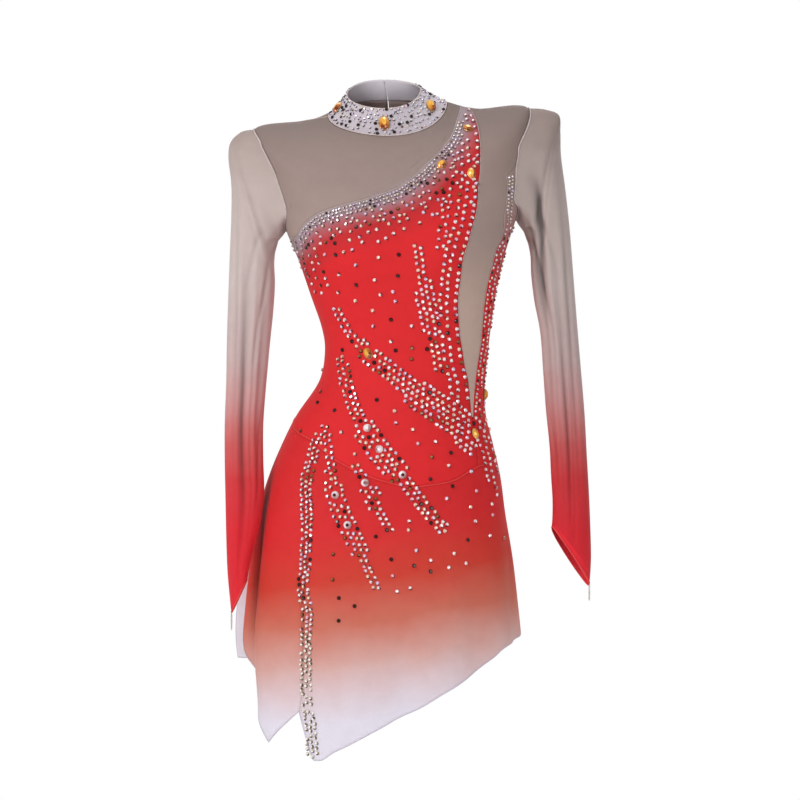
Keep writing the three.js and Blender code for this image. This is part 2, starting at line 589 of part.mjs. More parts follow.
// Skirt: slanted main panel, side panel with its own point, and a plain back with an open right edge
function buildSkirt() {
  const split = spread([basqueLine[1], ...seen(SKIRT_SPLIT)], 16);
  const slitEnd = atHeight(-90, SIDE_SLIT_Z);
  const sideSeam = spread([basqueRight, [-90, (basqueRight[1] + slitEnd[1]) / 2], slitEnd], 7);
  const freeEdge = SIDE_EDGE.map(([turn, z]) => atHeight(turn, z));
  const sideEdge = spread([slitEnd, ...freeEdge], 9);
  const leftHem = atHeight(90, SKIRT_LEFT_HEM_Z);
  const leftSeam = spread([basqueLeft, [90, (basqueLeft[1] + leftHem[1]) / 2], leftHem], 20);
  addPanel('skirt_side', fillPanel(basqueFrontRight, spread([freeEdge[freeEdge.length - 1], ...seen(SIDE_HEM)], 5),
    join(sideSeam, sideEdge), split), 'skirt_ombre');
  addPanel('skirt_front', fillPanel(join(basqueFrontMain, basqueFrontSide),
    spread([...seen(MAIN_HEM), leftHem], 16), join(split, spread(seen(NOTCH_EDGE), 4)), leftSeam), 'skirt_ombre');
  const backHem = BACK_HEM.map(([turn, z]) => atHeight(turn, z));
  const backEdge = spread([slitEnd, [-91, (slitEnd[1] * 2 + backHem[0][1]) / 3],
    [-94, (slitEnd[1] + backHem[0][1] * 2) / 3], backHem[0]], 13, backPoint);
  addPanel('skirt_back', fillPanel(join(backSeamRight, backSeamLeft), spread(backHem, 23), join(sideSeam, backEdge),
    leftSeam.map(([turn, level]) => [turn - 360, level])), 'skirt_ombre', backPoint);
}

// A sleeve ring: outer line at 0 degrees, front at 90, inner line at 180
function sleeveRing(row, around) {
  const angle = radians(around);
  const c = Math.cos(angle);
  const s = Math.sin(angle);
  const r = (Math.abs(s) ** 2.2 + Math.abs(c) ** 2.2) ** (-1 / 2.2);
  const middleX = (row.outerX + row.innerX) / 2;
  const middleZ = (row.outerZ + row.innerZ) / 2;
  const y = row.centreY - row.halfDepth * s * r;
  return sight(middleX + (row.outerX - middleX) * c * r, middleZ + (row.outerZ - middleZ) * c * r, y);
}

// Sleeve: one tube from the armhole to the pointed cuff, with its hanging folds
function buildSleeve(name, table, armhole, side) {
  const rows = table.map((row) => named(SLEEVE_COLUMNS, row));
  const folds = SLEEVE_FOLDS.map((row) => named(SLEEVE_FOLD_COLUMNS, row));
  const edge = join(armhole, reversed(mirrorToBack(armhole, side))).map((pair) => dressPoint(...pair));
  const count = 24;
  const point = (i, level) => {
    const row = Object.fromEntries(SLEEVE_COLUMNS.map((column) => [column, between(rows, column, level)]));
    const around = (360 * i) / count;
    const ring = sleeveRing(row, around);
    const k = ((Math.round(i) % count) + count) % count;
    if (level < 4) ring.addScaledVector(edge[k].clone().sub(sleeveRing(rows[0], around)), row.armholeShare);
    const centre = sleeveRing(row, 0).add(sleeveRing(row, 180)).multiplyScalar(0.5);
    let draw = 0;
    for (const fold of folds) {
      const along = (level - fold.from) / (fold.to - fold.from);
      if (along <= 0 || along >= 1) continue;
      const at = fold.around + (fold.aroundEnd - fold.around) * along;
      let away = (around - at) % 360;
      if (away > 180) away -= 360;
      if (away < -180) away += 360;
      draw += fold.depth * Math.sin(Math.PI * along) * Math.exp(-((away / fold.width) ** 2));
    }
    ring.addScaledVector(centre.sub(ring).normalize(), draw);
    ring.x += side * SLEEVE_LIFT;
    return ring;
  };
  const outer = [];
  const inner = [];
  for (let i = 0; i < count; i += 1) {
    outer.push([]);
    inner.push([]);
    for (let j = 0; j < rows.length; j += 1) {
      const here = point(i, j);
      const aside = point(i + 1, j).sub(point(i - 1, j));
      const down = point(i, Math.min(j + 1, rows.length - 1)).sub(point(i, Math.max(j - 1, 0)));
      const outward = aside.cross(down).multiplyScalar(side).normalize();
      outer[i].push(here);
      inner[i].push(here.clone().addScaledVector(outward, -CLOTH_WALL));
    }
  }
  addMesh(name, wallGeometry(outer, inner, true), 'sleeve_mesh');
}

// A line bent by one control point
function bent(a, b, c, t) {
  return a.clone().multiplyScalar((1 - t) ** 2).addScaledVector(b, 2 * t * (1 - t)).addScaledVector(c, t * t);
}

// Briefs: front and back, joined at the sides and under the crotch
function buildBriefs(name, line, front) {
  const count = 16;
  const sideRight = dressPoint(...atHeight(-90, BRIEFS.sideZ));
  const sideLeft = dressPoint(...atHeight(90, BRIEFS.sideZ));
  const top = spread(line, count);
  const end = front ? -1 : 1;
  const surface = (i, t) => {
    const share = (2 * i) / count - 1;
    const pair = top[Math.min(Math.max(Math.round(i), 0), count)];
    const start = dressPoint(...pair);
    start.addScaledVector(outwardAt(dressPoint, ...pair), -BRIEFS_CLEARANCE);
    start.z += 1.5;
    start.y += end * 0.4;
    const across = Math.abs(share) / BRIEFS.crotchShare;
    const crotchX = BRIEFS.crotchHalf * Math.sign(share) * Math.min(across, 1);
    const crotch = new THREE.Vector3(crotchX, BRIEFS.crotchY + end * 0.5, BRIEFS.crotchZ);
    const side = (share < 0 ? sideRight : sideLeft).clone();
    side.x -= Math.sign(share) * 16;
    side.y += end * 0.4;
    const cut = front ? [BRIEFS.frontCutX, BRIEFS.frontCutY, BRIEFS.frontCutZ]
      : [BRIEFS.backCutX, BRIEFS.backCutY, BRIEFS.backCutZ];
    const control = new THREE.Vector3(cut[0] * Math.sign(share), cut[1], cut[2]);
    const leg = Math.max((Math.abs(share) - BRIEFS.crotchShare) / (1 - BRIEFS.crotchShare), 0);
    const finish = bent(crotch, control, side, leg);
    const middle = start.clone().lerp(finish, 0.5);
    middle.y = start.y * 0.97 + finish.y * 0.03;
    middle.z = start.z * 0.3 + finish.z * 0.7 - 8 * (1 - leg);
    return bent(start, middle, finish, t);
  };
  const outer = [];
  const inner = [];
  for (let i = 0; i <= count; i += 1) {
    outer.push([]);
    inner.push([]);
    for (let j = 0; j <= 10; j += 1) {
      const t = j / 10;
      const aside = surface(Math.min(i + 1, count), t).sub(surface(Math.max(i - 1, 0), t));
      const down = surface(i, Math.min(t + 0.05, 1)).sub(surface(i, Math.max(t - 0.05, 0)));
      const outward = down.cross(aside).multiplyScalar(-end).normalize();
      if (i === 0 || i === count || j === 10) outward.setY(0).normalize();
      const here = surface(i, t);
      outer[i].push(here);
      inner[i].push(here.clone().addScaledVector(outward, -BRIEFS_WALL));
    }
  }
  addMesh(name, wallGeometry(outer, inner, false), 'red_stretch');
}

// Puts a stone on a surface with its flat back just clear of the cloth
function setStone(name, geometry, finish, surface, across, up, lean, lift, lastLevel) {
  const pair = place(surface, across, up, lastLevel);
  const sign = surface === collarPoint ? -1 : 1;
  const outward = outwardAt(surface, ...pair).multiplyScalar(sign);
  const upward = new THREE.Vector3(0, 0, 1).addScaledVector(outward, -outward.z).normalize();
  const aside = upward.clone().cross(outward);
  const turned = new THREE.Matrix4().makeBasis(aside, upward, outward);
  turned.multiply(new THREE.Matrix4().makeRotationZ(radians(lean)));
  const mesh = addMesh(name, geometry, finish);
  mesh.quaternion.setFromRotationMatrix(turned);
  mesh.position.copy(surface(...pair)).addScaledVector(outward, lift);
}

// Amber stones: shallow ovals, three on the collar and six on the body
function buildAmber() {
  const set = (list, surface, word, lastLevel) => list.forEach((row, n) => {
    const size = named(AMBER_COLUMNS, row);
    const oval = new THREE.SphereGeometry(1, 10, 6).scale(size.width / 2, size.length / 2, size.height / 2);
    setStone(`amber_${word}_${n + 1}`, oval, 'amber_stone', surface, size.across, size.up, size.lean,
      size.height / 2 + STONE_GAP + 0.4 - size.sink, lastLevel);
  });
  set(AMBER_ON_COLLAR, collarPoint, 'collar', 1);
  set(AMBER_ON_BODY, dressPoint, 'body', LAST_LEVEL);
}

// Clear stones: round, with a slanted rim and a flat table
function buildClear() {
  const radius = CLEAR_DIAMETER / 2;
  CLEAR_STONES.forEach(([across, up], n) => {
    const profile = [[0, 0], [radius * 0.8, 0], [radius, CLEAR_HEIGHT * 0.3], [radius * 0.55, CLEAR_HEIGHT],
      [0, CLEAR_HEIGHT]].map(([x, y]) => new THREE.Vector2(x, y));
    const stone = new THREE.LatheGeometry(profile, 12).rotateX(Math.PI / 2);
    setStone(`clear_stone_${n + 1}`, stone, 'clear_stone', dressPoint, across, up, 0, STONE_GAP + 0.2, LAST_LEVEL);
  });
}

// Finger loops: small closed loops that hang under the cuff points, edge on to the front
function buildLoop(name, table) {
  const row = named(SLEEVE_COLUMNS, table[table.length - 1]);
  const tip = sleeveRing(row, 0);
  const loop = new THREE.TorusGeometry(LOOP.radius, LOOP.cord, 6, 14).rotateY(Math.PI / 2);
  loop.scale(1, 1, LOOP.length / LOOP.radius);
  const mesh = addMesh(name, loop, 'clear_elastic');
  mesh.position.set(tip.x, tip.y, tip.z - LOOP.length - LOOP.cord * 1.5 - LOOP.gap);
}

buildCollar();
buildFront();
buildBack();
buildSkirt();
buildSleeve('sleeve_right', SLEEVE_RIGHT, armholeRight, -1);
buildSleeve('sleeve_left', SLEEVE_LEFT, armholeLeft, 1);
buildBriefs('briefs_front', basqueLine, true);
buildBriefs('briefs_back', [basqueRight, ...backSeam, [-270, basqueLeft[1]]], false);
buildAmber();
buildClear();
buildLoop('finger_loop_right', SLEEVE_RIGHT);
buildLoop('finger_loop_left', SLEEVE_LEFT);

export default group;
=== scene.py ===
"""Figure skating dress: high stoned collar, mesh yoke and slash, long pointed sleeves, slanted skirt.

Metres, +Z up, the wearer faces -Y and the wearer's right is at -X. Sizes in the tables are in mm.
"""

import bpy
import numpy as np
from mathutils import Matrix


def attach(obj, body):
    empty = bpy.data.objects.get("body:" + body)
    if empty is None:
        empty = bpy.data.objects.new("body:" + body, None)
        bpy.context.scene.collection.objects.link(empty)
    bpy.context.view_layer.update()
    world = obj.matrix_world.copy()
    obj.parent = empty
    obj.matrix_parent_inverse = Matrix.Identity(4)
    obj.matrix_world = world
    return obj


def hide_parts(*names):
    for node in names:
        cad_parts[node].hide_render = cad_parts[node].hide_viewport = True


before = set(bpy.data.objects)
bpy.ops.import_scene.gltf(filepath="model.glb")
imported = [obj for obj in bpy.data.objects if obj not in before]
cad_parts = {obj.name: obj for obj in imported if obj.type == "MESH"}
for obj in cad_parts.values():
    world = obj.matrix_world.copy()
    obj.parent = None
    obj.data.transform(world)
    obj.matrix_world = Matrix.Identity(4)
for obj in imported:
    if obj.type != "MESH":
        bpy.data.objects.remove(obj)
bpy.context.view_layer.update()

# Camera: level with the middle of the dress and 3.2 m in front of it. At the depth of the shoulders
# a picture point is 1.37 mm wide. Edges are noted below as they are seen from here, in mm in the
# plane of the shoulders, from the picture point where the dress has its origin.
MM = 0.001
POINT, PICTURE, SEEN_ORIGIN, SENSOR = 1.37, 800, (390, 120), 36.0
EYE = np.array([13.7, -3200.0, -383.6])
camera_data = bpy.data.cameras.new("front_camera")
camera_data.sensor_width = SENSOR
camera_data.lens = SENSOR * -EYE[1] / (PICTURE * POINT)
camera_data.clip_end = 100
camera = bpy.data.objects.new("front_camera", camera_data)
camera.location = EYE * MM
camera.rotation_euler = (np.pi / 2, 0, 0)
bpy.context.scene.collection.objects.link(camera)
bpy.context.scene.camera = camera


# Collar: a standing band of silver knit cut in one piece, closed at the middle of the back.
# It is lightly stiffened, and sewn to the neck edge of the yoke and the backs.
SECTION_COLUMNS = ("right_x", "right_z", "left_x", "left_z", "side_y", "front_y", "front_z",
                   "back_y", "back_z", "square", "round")
NECK = np.array([-85, 5, 79, 25, 2, -60, -29, 62, 34, 2.0, 1.0])
COLLAR_RIM = np.array([-59, 36, 42, 43, 3, -48, 10, 52, 62, 2.0, 1.0])
COLLAR_WAISTING = 10


def section_point(columns, turn):
    """Point of a section at a turn, 0 in front and -90 at the wearer's right: a superellipse across,
    half front and half back, whose height runs from the side lines to the front or back line."""
    right_x, right_z, left_x, left_z, side_y, front_y, front_z, back_y, back_z, square, lift = (
        columns[..., k] for k in range(len(SECTION_COLUMNS)))
    s, c = np.sin(np.radians(turn)), np.cos(np.radians(turn))
    r = (np.abs(s) ** square + np.abs(c) ** square) ** (-1 / square)
    depth = np.abs(c) * r
    side_z = right_z + (left_z - right_z) * (1 + s * r) / 2
    end_y, end_z = np.where(c >= 0, front_y, back_y), np.where(c >= 0, front_z, back_z)
    x = (right_x + left_x) / 2 + (left_x - right_x) / 2 * s * r
    return np.stack([x, side_y + (end_y - side_y) * depth, side_z + (end_z - side_z) * depth**lift], -1)


def unit(vectors):
    """Vectors brought to length one."""
    return vectors / (np.linalg.norm(vectors, axis=-1, keepdims=True) + 1e-12)


def collar(turn, level):
    """Collar in mm: straight from the neck seam at level 0 to the rim at level 1, and drawn in
    between them by a parabola that is a quarter of the waisting at its deepest."""
    turn, level = np.broadcast_arrays(np.asarray(turn, float), np.asarray(level, float))
    foot, rim = section_point(NECK, turn), section_point(COLLAR_RIM, turn)
    share = level[..., None]
    return foot + (rim - foot) * share - unit(foot * [1, 1, 0]) * COLLAR_WAISTING * share * (1 - share)


def outward(surface, turn, level):
    """Unit normal of a surface whose levels run down: the cross product of its two slopes."""
    aside = surface(turn + 0.4, level) - surface(turn - 0.4, level)
    down = surface(turn, level + 0.01) - surface(turn, level - 0.01)
    return unit(np.cross(down, aside))


def collar_out(turn, level):
    """Outward normal of the collar, whose levels run up."""
    return -outward(collar, turn, level)


def new_piece(name, points, faces, smooth=True):
    """Object from points in mm and lists of faces."""
    mesh = bpy.data.meshes.new(name)
    mesh.from_pydata((np.asarray(points) * MM).tolist(), [], [row for part in faces for row in part.tolist()])
    mesh.polygons.foreach_set("use_smooth", np.full(len(mesh.polygons), smooth))
    mesh.update()
    piece = bpy.data.objects.new(name, mesh)
    bpy.context.scene.collection.objects.link(piece)
    return piece


def lengths(points, axis=0):
    """How long each line of a net is up to each of its points: the running sum of its steps."""
    return np.insert(np.cumsum(np.linalg.norm(np.diff(points, axis=axis), axis=-1), axis), 0, 0, axis)


def cloth_piece(name, outer, normals, wall=0.8, around=False, floats=None):
    """Cloth from a net of outer points in mm: the net, the same net set in by the wall along the
    normals, and strips round its free edges. The UV map counts metres across and down the cloth."""
    across, down = outer.shape[:2]
    index = np.arange(across * down).reshape(across, down)
    if around:
        index = np.concatenate([index, index[:1]])
    back = index + across * down
    quads = [np.stack([index[:-1, :-1], index[1:, :-1], index[1:, 1:], index[:-1, 1:]], -1).reshape(-1, 4),
             np.stack([back[:-1, :-1], back[:-1, 1:], back[1:, 1:], back[1:, :-1]], -1).reshape(-1, 4)]
    rims = [(index[:, 0], back[:, 0]), (back[:, -1], index[:, -1])]
    if not around:
        rims += [(back[0], index[0]), (index[-1], back[-1])]
    quads += [np.stack([a[:-1], b[:-1], b[1:], a[1:]], -1) for a, b in rims]
    faces = np.concatenate(quads)
    points = np.concatenate([outer.reshape(-1, 3), (outer - normals * wall).reshape(-1, 3)])
    a, b, c, d = (points[faces[:, k]] for k in range(4))
    if (np.einsum("ij,ij->i", a, np.cross(b, c)) + np.einsum("ij,ij->i", a, np.cross(c, d))).sum() < 0:
        faces = faces[:, ::-1]
    piece = new_piece(name, points, [faces])
    closed = np.concatenate([outer, outer[:1]]) if around else outer
    flat = np.stack([lengths(closed)[:across], lengths(outer, 1)], -1).reshape(-1, 2) * MM
    corner = np.empty(len(piece.data.loops), np.int32)
    piece.data.loops.foreach_get("vertex_index", corner)
    layer = piece.data.uv_layers.new(name="cloth")
    layer.uv.foreach_set("vector", flat[corner % len(flat)].ravel().astype(np.float32))
    for key, values in (floats or {}).items():
        attribute = piece.data.attributes.new(key, "FLOAT", "POINT")
        attribute.data.foreach_set("value", np.tile(values.ravel(), 2).astype(np.float32))
    return piece


class Wire:
    """One shader output: + - * make math nodes, stops() colours it, node() makes any other node."""

    def __init__(self, tree, socket):
        self.tree, self.socket = tree, socket

    def node(self, kind, inputs, output=0, **settings):
        """Any node: inputs maps its sockets to values or wires, settings are its own choices."""
        made = self.tree.nodes.new(kind)
        for key, value in settings.items():
            setattr(made, key, value)
        for key, value in inputs.items():
            if isinstance(value, Wire):
                self.tree.links.new(value.socket, made.inputs[key])
            else:
                made.inputs[key].default_value = value
        return Wire(self.tree, made.outputs[output])

    def math(self, operation, *values, clamp=False):
        """A math node of this operation on values or wires."""
        return self.node("ShaderNodeMath", dict(enumerate(values)), operation=operation, use_clamp=clamp)

    def __add__(self, other):
        return self.math("ADD", self, other)

    def __sub__(self, other):
        return self.math("SUBTRACT", self, other)

    def __rsub__(self, other):
        return self.math("SUBTRACT", other, self)

    def __mul__(self, other):
        return self.math("MULTIPLY", self, other)

    __radd__, __rmul__ = __add__, __mul__

    def part(self, axis):
        """One of the three parts of a vector."""
        return self.node("ShaderNodeSeparateXYZ", {0: self}, axis)

    def noise(self, size, detail=2.0):
        """Cloudy values from 0 to 1, in lumps of about this size in mm."""
        return self.node("ShaderNodeTexNoise", {"Vector": self, "Scale": 1 / (size * MM), "Detail": detail})

    def stops(self, *stops):
        """Colour by value: each stop is a value and a screen colour, with straight blends between."""
        low, high = stops[0][0], stops[-1][0]
        scaled = self.math("DIVIDE", self - low, high - low, clamp=True)
        made = self.tree.nodes.new("ShaderNodeValToRGB")
        self.tree.links.new(scaled.socket, made.inputs[0])
        made.color_ramp.elements.remove(made.color_ramp.elements[1])
        elements = made.color_ramp.elements
        for k, (value, colour) in enumerate(stops):
            place = (value - low) / (high - low)
            element = elements[0] if k == 0 else elements.new(place)
            element.position, element.color = place, linear(colour)
        return Wire(self.tree, made.outputs[0])

    def shaded(self, amount):
        """This colour times a value."""
        return self.node("ShaderNodeVectorMath", {0: self, "Scale": amount}, operation="SCALE")

    def attribute(self, name, output=2):
        """A value, or a colour where the output is 0, that the mesh holds under this name."""
        return self.node("ShaderNodeAttribute", {}, output, attribute_name=name)

    def bump(self, strength, distance):
        """The normal that this height gives."""
        return self.node("ShaderNodeBump", {"Height": self, "Strength": strength, "Distance": distance})


def linear(colour):
    """Screen colour from 0 to 255 as scene light, with the screen's curve undone."""
    c = np.asarray(colour, float) / 255
    return (*np.where(c <= 0.04045, c / 12.92, ((c + 0.055) / 1.055) ** 2.4), 1.0)


def socket(shader, key):
    """The shader's input whose name is written with underscores."""
    return shader.inputs[key.replace("_", " ").title().replace("Ior", "IOR")]


def feed(shader, **wires):
    """Links wires to the shader's inputs of these names."""
    for key, wire in wires.items():
        shader.id_data.links.new(wire.socket, socket(shader, key))


def new_material(name, **settings):
    """A material, its shader with these constants, and wires for the object's own place and UV map."""
    material = bpy.data.materials.new(name)
    material.use_nodes = True
    shader = material.node_tree.nodes["Principled BSDF"]
    for key, value in settings.items():
        socket(shader, key).default_value = value
    start = material.node_tree.nodes.new("ShaderNodeTexCoord")
    return material, shader, *(Wire(material.node_tree, start.outputs[key]) for key in ("Object", "UV"))


RIB_WAVES = (6283.2, 5000.0)  # radians a metre, across and down the cloth, of ribs 1 mm apart


def knit(shader, place, uv, colour, pitch, rough, relief, crease=1.0, see_through=None):
    """Knit cloth: colour mottled by cloudy values, and a bump of crossed ribs of the knit's pitch in
    mm, fine grain and soft creases."""
    across, down = (uv.math("SINE", uv.part(axis) * (waves / pitch)) for axis, waves in enumerate(RIB_WAVES))
    ribs, mottle, grain = across * down, place.noise(17, 3), place.noise(1.1)
    height = ribs * 0.22 + grain * 0.35 + place.noise(34) * (4.0 * crease) + place.noise(9) * (0.8 * crease)
    feed(shader, base_color=colour.shaded(mottle * 0.12 + grain * 0.10 + ribs * 0.04 + 0.89),
         normal=height.bump(relief, 0.8 * MM), roughness=mottle * 0.1 + grain * 0.06 + (rough - 0.08))
    if see_through is not None:
        feed(shader, alpha=ribs * 0.10 + see_through)


def give(piece, material, slot, *nodes):
    """Gives a piece its finish and tells the frame what it rides on and stands in for; the slot is not used."""
    piece.data.materials.append(material)
    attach(piece, "root")
    if nodes:
        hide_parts(*nodes)


def wear(piece, material, slot):
    """Gives cloth its finish, in the place of the node of its name; the slot is not used."""
    give(piece, material, slot, piece.name.replace("_cloth", ""))


silver_knit, shader, place, uv = new_material("silver_knit", sheen_weight=0.1, specular_ior_level=0.4)
silver = place.part(2).stops((-0.03, (190, 178, 186)), (0.05, (222, 214, 222)))
knit(shader, place, uv, silver, 0.9, 0.42, 0.5, 0.3)
turn, level = np.meshgrid(np.linspace(-179.85, 179.85, 145), np.linspace(0.016, 1, 15), indexing="ij")
collar_cloth = cloth_piece("collar_cloth", collar(turn, level), collar_out(turn, level), 1.1)
wear(collar_cloth, silver_knit, "collar_cloth")


# Front of the body: nude mesh yoke over the wearer's right chest and shoulder, cut in one. The red
# front, the mesh slash and the side panel are sewn to it and to each other edge to edge.
# The rows run down the body and say where the side, front and back lines of the dress pass.
BODY_ROWS = np.array([
    NECK,
    [-122, -1, 120, 16, 5, -78, -52, 77, 4, 2.1, 1.25],       # collarbone
    [-186, -12, 190, 17, 8, -96, -88, 92, -40, 2.2, 1.6],     # shoulder
    [-171, -60, 189, -45, 8, -106, -118, 97, -85, 2.3, 1.6],
    [-152, -112, 184, -97, 5, -113, -146, 98, -124, 2.3, 1.6],
    [-142, -152, 172, -137, 3, -117, -173, 97, -160, 2.3, 1.6],  # underarm
    [-125, -192, 157, -184, 2, -115, -206, 95, -200, 2.3, 1.6],
    [-108, -241, 145, -236, 2, -103, -248, 90, -246, 2.3, 1.6],
    [-93, -285, 138, -283, 2, -94, -289, 84, -288, 2.3, 1.6],
    [-89, -318, 134, -318, 2, -91, -320, 82, -319, 2.3, 1.6],  # waist
    [-97, -358, 130, -358, 3, -96, -359, 91, -358, 2.25, 1.6],
    [-127, -403, 131, -403, 4, -103, -403, 105, -403, 2.2, 1.6],
    [-146, -440, 140, -440, 5, -107, -440, 114, -440, 2.2, 1.6],
    [-166, -488, 151, -488, 5, -109, -488, 119, -488, 2.2, 1.6],  # hip
    [-181, -540, 158, -540, 5, -112, -540, 122, -540, 2.2, 1.6],
    [-191, -600, 168, -600, 5, -116, -600, 125, -600, 2.2, 1.6],
    [-198, -660, 175, -660, 5, -120, -660, 128, -660, 2.2, 1.6],
    [-202, -720, 181, -720, 5, -123, -720, 130, -720, 2.2, 1.6],
    [-197, -800, 187, -800, 5, -126, -800, 132, -800, 2.2, 1.6],
    [-198, -900, 192, -900, 5, -129, -900, 134, -900, 2.2, 1.6],
])
LEVELS = np.arange(float(len(BODY_ROWS)))
SHOULDER, UNDERARM, LAST = 2.0, 5.0, LEVELS[-1]
BUST_RISE, BUST_SPACING, BUST_Z, BUST_TALL, BUST_WIDE = 9.0, 68.0, -188.0, 48, 44
FOLD_RUN = 200  # mm over which a fold of the skirt eases in
# Each fold of the skirt: turn and width in degrees, depth at the hem and height where it starts in mm
SKIRT_FOLDS = np.array([[-73, 7, 19, -470], [-40, 9, 5, -560], [8, 10, 4, -600], [42, 9, 5, -560],
                        [74, 8, 6, -500], [-118, 9, 9, -520], [-146, 8, 8, -540], [-176, 9, 9, -520],
                        [-205, 8, 8, -540], [-236, 9, 9, -520]])
# Edges as seen from the camera, in the plane of the shoulders: across and up
ARMHOLE_RIGHT = [(-180, -26), (-174, -40), (-167, -53), (-156, -77), (-147, -104), (-142, -133)]
ARMHOLE_LEFT = [(180, -28), (175, -51), (172, -82), (171, -112)]
YOKE_EDGE = [(-128, -160), (-118, -144), (-101, -130), (-85, -123), (-58, -115), (-32, -108), (-5, -99),
             (12, -92), (40, -71), (55, -56), (81, -27), (92, 0)]
SLASH_INNER = [(118, -1), (123, -25), (124, -51), (123, -77), (121, -105), (116, -136), (108, -166),
               (101, -188), (97, -218), (94, -241), (94, -267), (97, -301), (102, -333), (107, -355),
               (110, -384), (112.4, -407)]
SLASH_OUTER = [(160, -77), (157, -130), (157, -144), (153, -162), (145, -179), (140, -200), (134, -223),
               (130, -245), (127, -275), (125, -301), (121, -327), (117, -355), (115, -384), (114, -407)]
BASQUE_FRONT = [(-101, -441), (-84, -459), (-58, -475), (-30, -488), (-4, -496), (27, -503), (49, -501),
                (84, -495), (108, -482), (122, -474)]
BASQUE_BACK = [(-115, -437), (-145, -468), (-180, -480), (-215, -478), (-245, -469)]
YOKE_SIDE_Z, BASQUE_RIGHT_Z, BASQUE_LEFT_Z = -178, -408, -460
YOKE_SHOULDER_X, SLASH_SHOULDER_X = 97, 108
FINE = 4  # steps of the visible cloth for each step of the solid cloth


def rows_at(table, level):
    """Table columns at a level between rows: the cubic through each pair of rows whose slope at a
    row is half the difference of its two neighbours."""
    level = np.asarray(level, float)
    k = np.clip(np.floor(level).astype(int), 0, len(table) - 2)
    t = (level - k)[..., None]
    a, b = table[np.clip(k - 1, 0, None)], table[k]
    c, d = table[k + 1], table[np.clip(k + 2, None, len(table) - 1)]
    return (b * (2 * t**3 - 3 * t**2 + 1) + (c - a) / 2 * (t**3 - 2 * t**2 + t)
            + c * (3 * t**2 - 2 * t**3) + (d - b) / 2 * (t**3 - t**2))


def bell(x):
    """One in the middle, falling to nothing on both sides: e to the power of minus the square."""
    return np.exp(-(x**2))


def degrees_from(turn, at):
    """Angle from one direction to another, between -180 and 180 degrees."""
    return (turn - at + 180) % 360 - 180


def fold_depth(turn, z):
    """Sum over the folds of depth, eased in below its start, times a bell across its width."""
    at, width, depth, start = SKIRT_FOLDS.T
    along = np.clip((start - z[..., None]) / FOLD_RUN, 0, 1)
    return (depth * along**2 * (3 - 2 * along) * bell(degrees_from(turn[..., None], at) / width)).sum(-1)


def dress(turn, level):
    """Dress form in mm: the section at that level, with two soft bust rises in front and the skirt's
    folds drawn in towards the middle."""
    turn, level = np.broadcast_arrays(np.asarray(turn, float), np.asarray(level, float))
    columns = rows_at(BODY_ROWS, level)
    point = section_point(columns, turn)
    across = point[..., 0] - (columns[..., 0] + columns[..., 2]) / 2
    rise = bell((point[..., 2] - BUST_Z) / BUST_TALL) * (
        bell((across + BUST_SPACING) / BUST_WIDE) + bell((across - BUST_SPACING) / BUST_WIDE))
    point[..., 1] -= BUST_RISE * rise * np.clip(np.cos(np.radians(turn)), 0, None)
    away = unit(np.stack([across, point[..., 1]], -1))
    point[..., :2] -= away * fold_depth(turn, point[..., 2])[..., None]
    return point


def as_seen(point):
    """Where a point appears from the camera, in the plane of the shoulders: its offset from the
    camera's axis divided by its relative distance."""
    scale = 1 - point[..., 1] / EYE[1]
    return np.stack([EYE[0] + (point[..., 0] - EYE[0]) / scale, EYE[2] + (point[..., 2] - EYE[2]) / scale], -1)


def seen_on(surface, seen, last=LAST):
    """Turn and level of each position seen from the front: the nearest node of a coarse net over the
    surface's front half, then damped Newton steps on the two errors."""
    seen = np.atleast_2d(np.asarray(seen, float))
    net_turn, net_level = np.meshgrid(np.linspace(-88, 88, 67), np.linspace(0, last, 190), indexing="ij")
    net = as_seen(surface(net_turn, net_level)).reshape(-1, 2)
    nearest = np.concatenate([((part[:, None] - net) ** 2).sum(-1).argmin(1)
                              for part in np.array_split(seen, len(seen) // 300 + 1)])
    turn, level = net_turn.ravel()[nearest].copy(), net_level.ravel()[nearest].copy()
    for _ in range(14):
        here = as_seen(surface(turn, level)) - seen
        a, c = ((as_seen(surface(turn + 0.05, level)) - seen - here) / 0.05).T
        b, d = ((as_seen(surface(turn, level + 0.001)) - seen - here) / 0.001).T
        m11, m22, m12 = a * a + c * c + 0.02, b * b + d * d + 2.0, a * b + c * d
        g1, g2 = a * here[:, 0] + c * here[:, 1], b * here[:, 0] + d * here[:, 1]
        det = m11 * m22 - m12**2
        turn = np.clip(turn - np.clip((m22 * g1 - m12 * g2) / det, -6, 6), -90, 90)
        level = np.clip(level - np.clip((m11 * g2 - m12 * g1) / det, -0.4, 0.4), 0, last)
    return np.stack([turn, level], -1)


def passes(turn, value, axis=2, low=UNDERARM - 1, high=LAST):
    """Turn and level where the line at one turn passes a height, or a distance across, by halving."""
    rising = dress(turn, high)[axis] > dress(turn, low)[axis]
    for _ in range(40):
        middle = (low + high) / 2
        low, high = (middle, high) if (dress(turn, middle)[axis] < value) == rising else (low, middle)
    return np.array([turn, (low + high) / 2])


def spread(line, count, surface=dress):
    """Even points along a line of turn and level pairs: a smooth curve through the pairs, cut at
    equal lengths of its run over the surface, and never turned past its own ends."""
    line = np.atleast_2d(np.asarray(line, float))
    fine = rows_at(line, np.linspace(0, len(line) - 1, 96 * (len(line) - 1) + 1))
    fine[:, 0] = np.clip(fine[:, 0], line[:, 0].min(), line[:, 0].max())
    run = lengths(surface(*fine.T))
    goal = np.linspace(0, run[-1], count * FINE + 1)
    return np.stack([np.interp(goal, run, fine[:, 0]), np.interp(goal, run, fine[:, 1])], -1)


def join(*lines):
    """Lines end to end, with each shared end once."""
    return np.concatenate([lines[0]] + [line[1:] for line in lines[1:]])


def straight(first, last):
    """Even pairs between two pairs."""
    return np.linspace(first, last, FINE + 1)


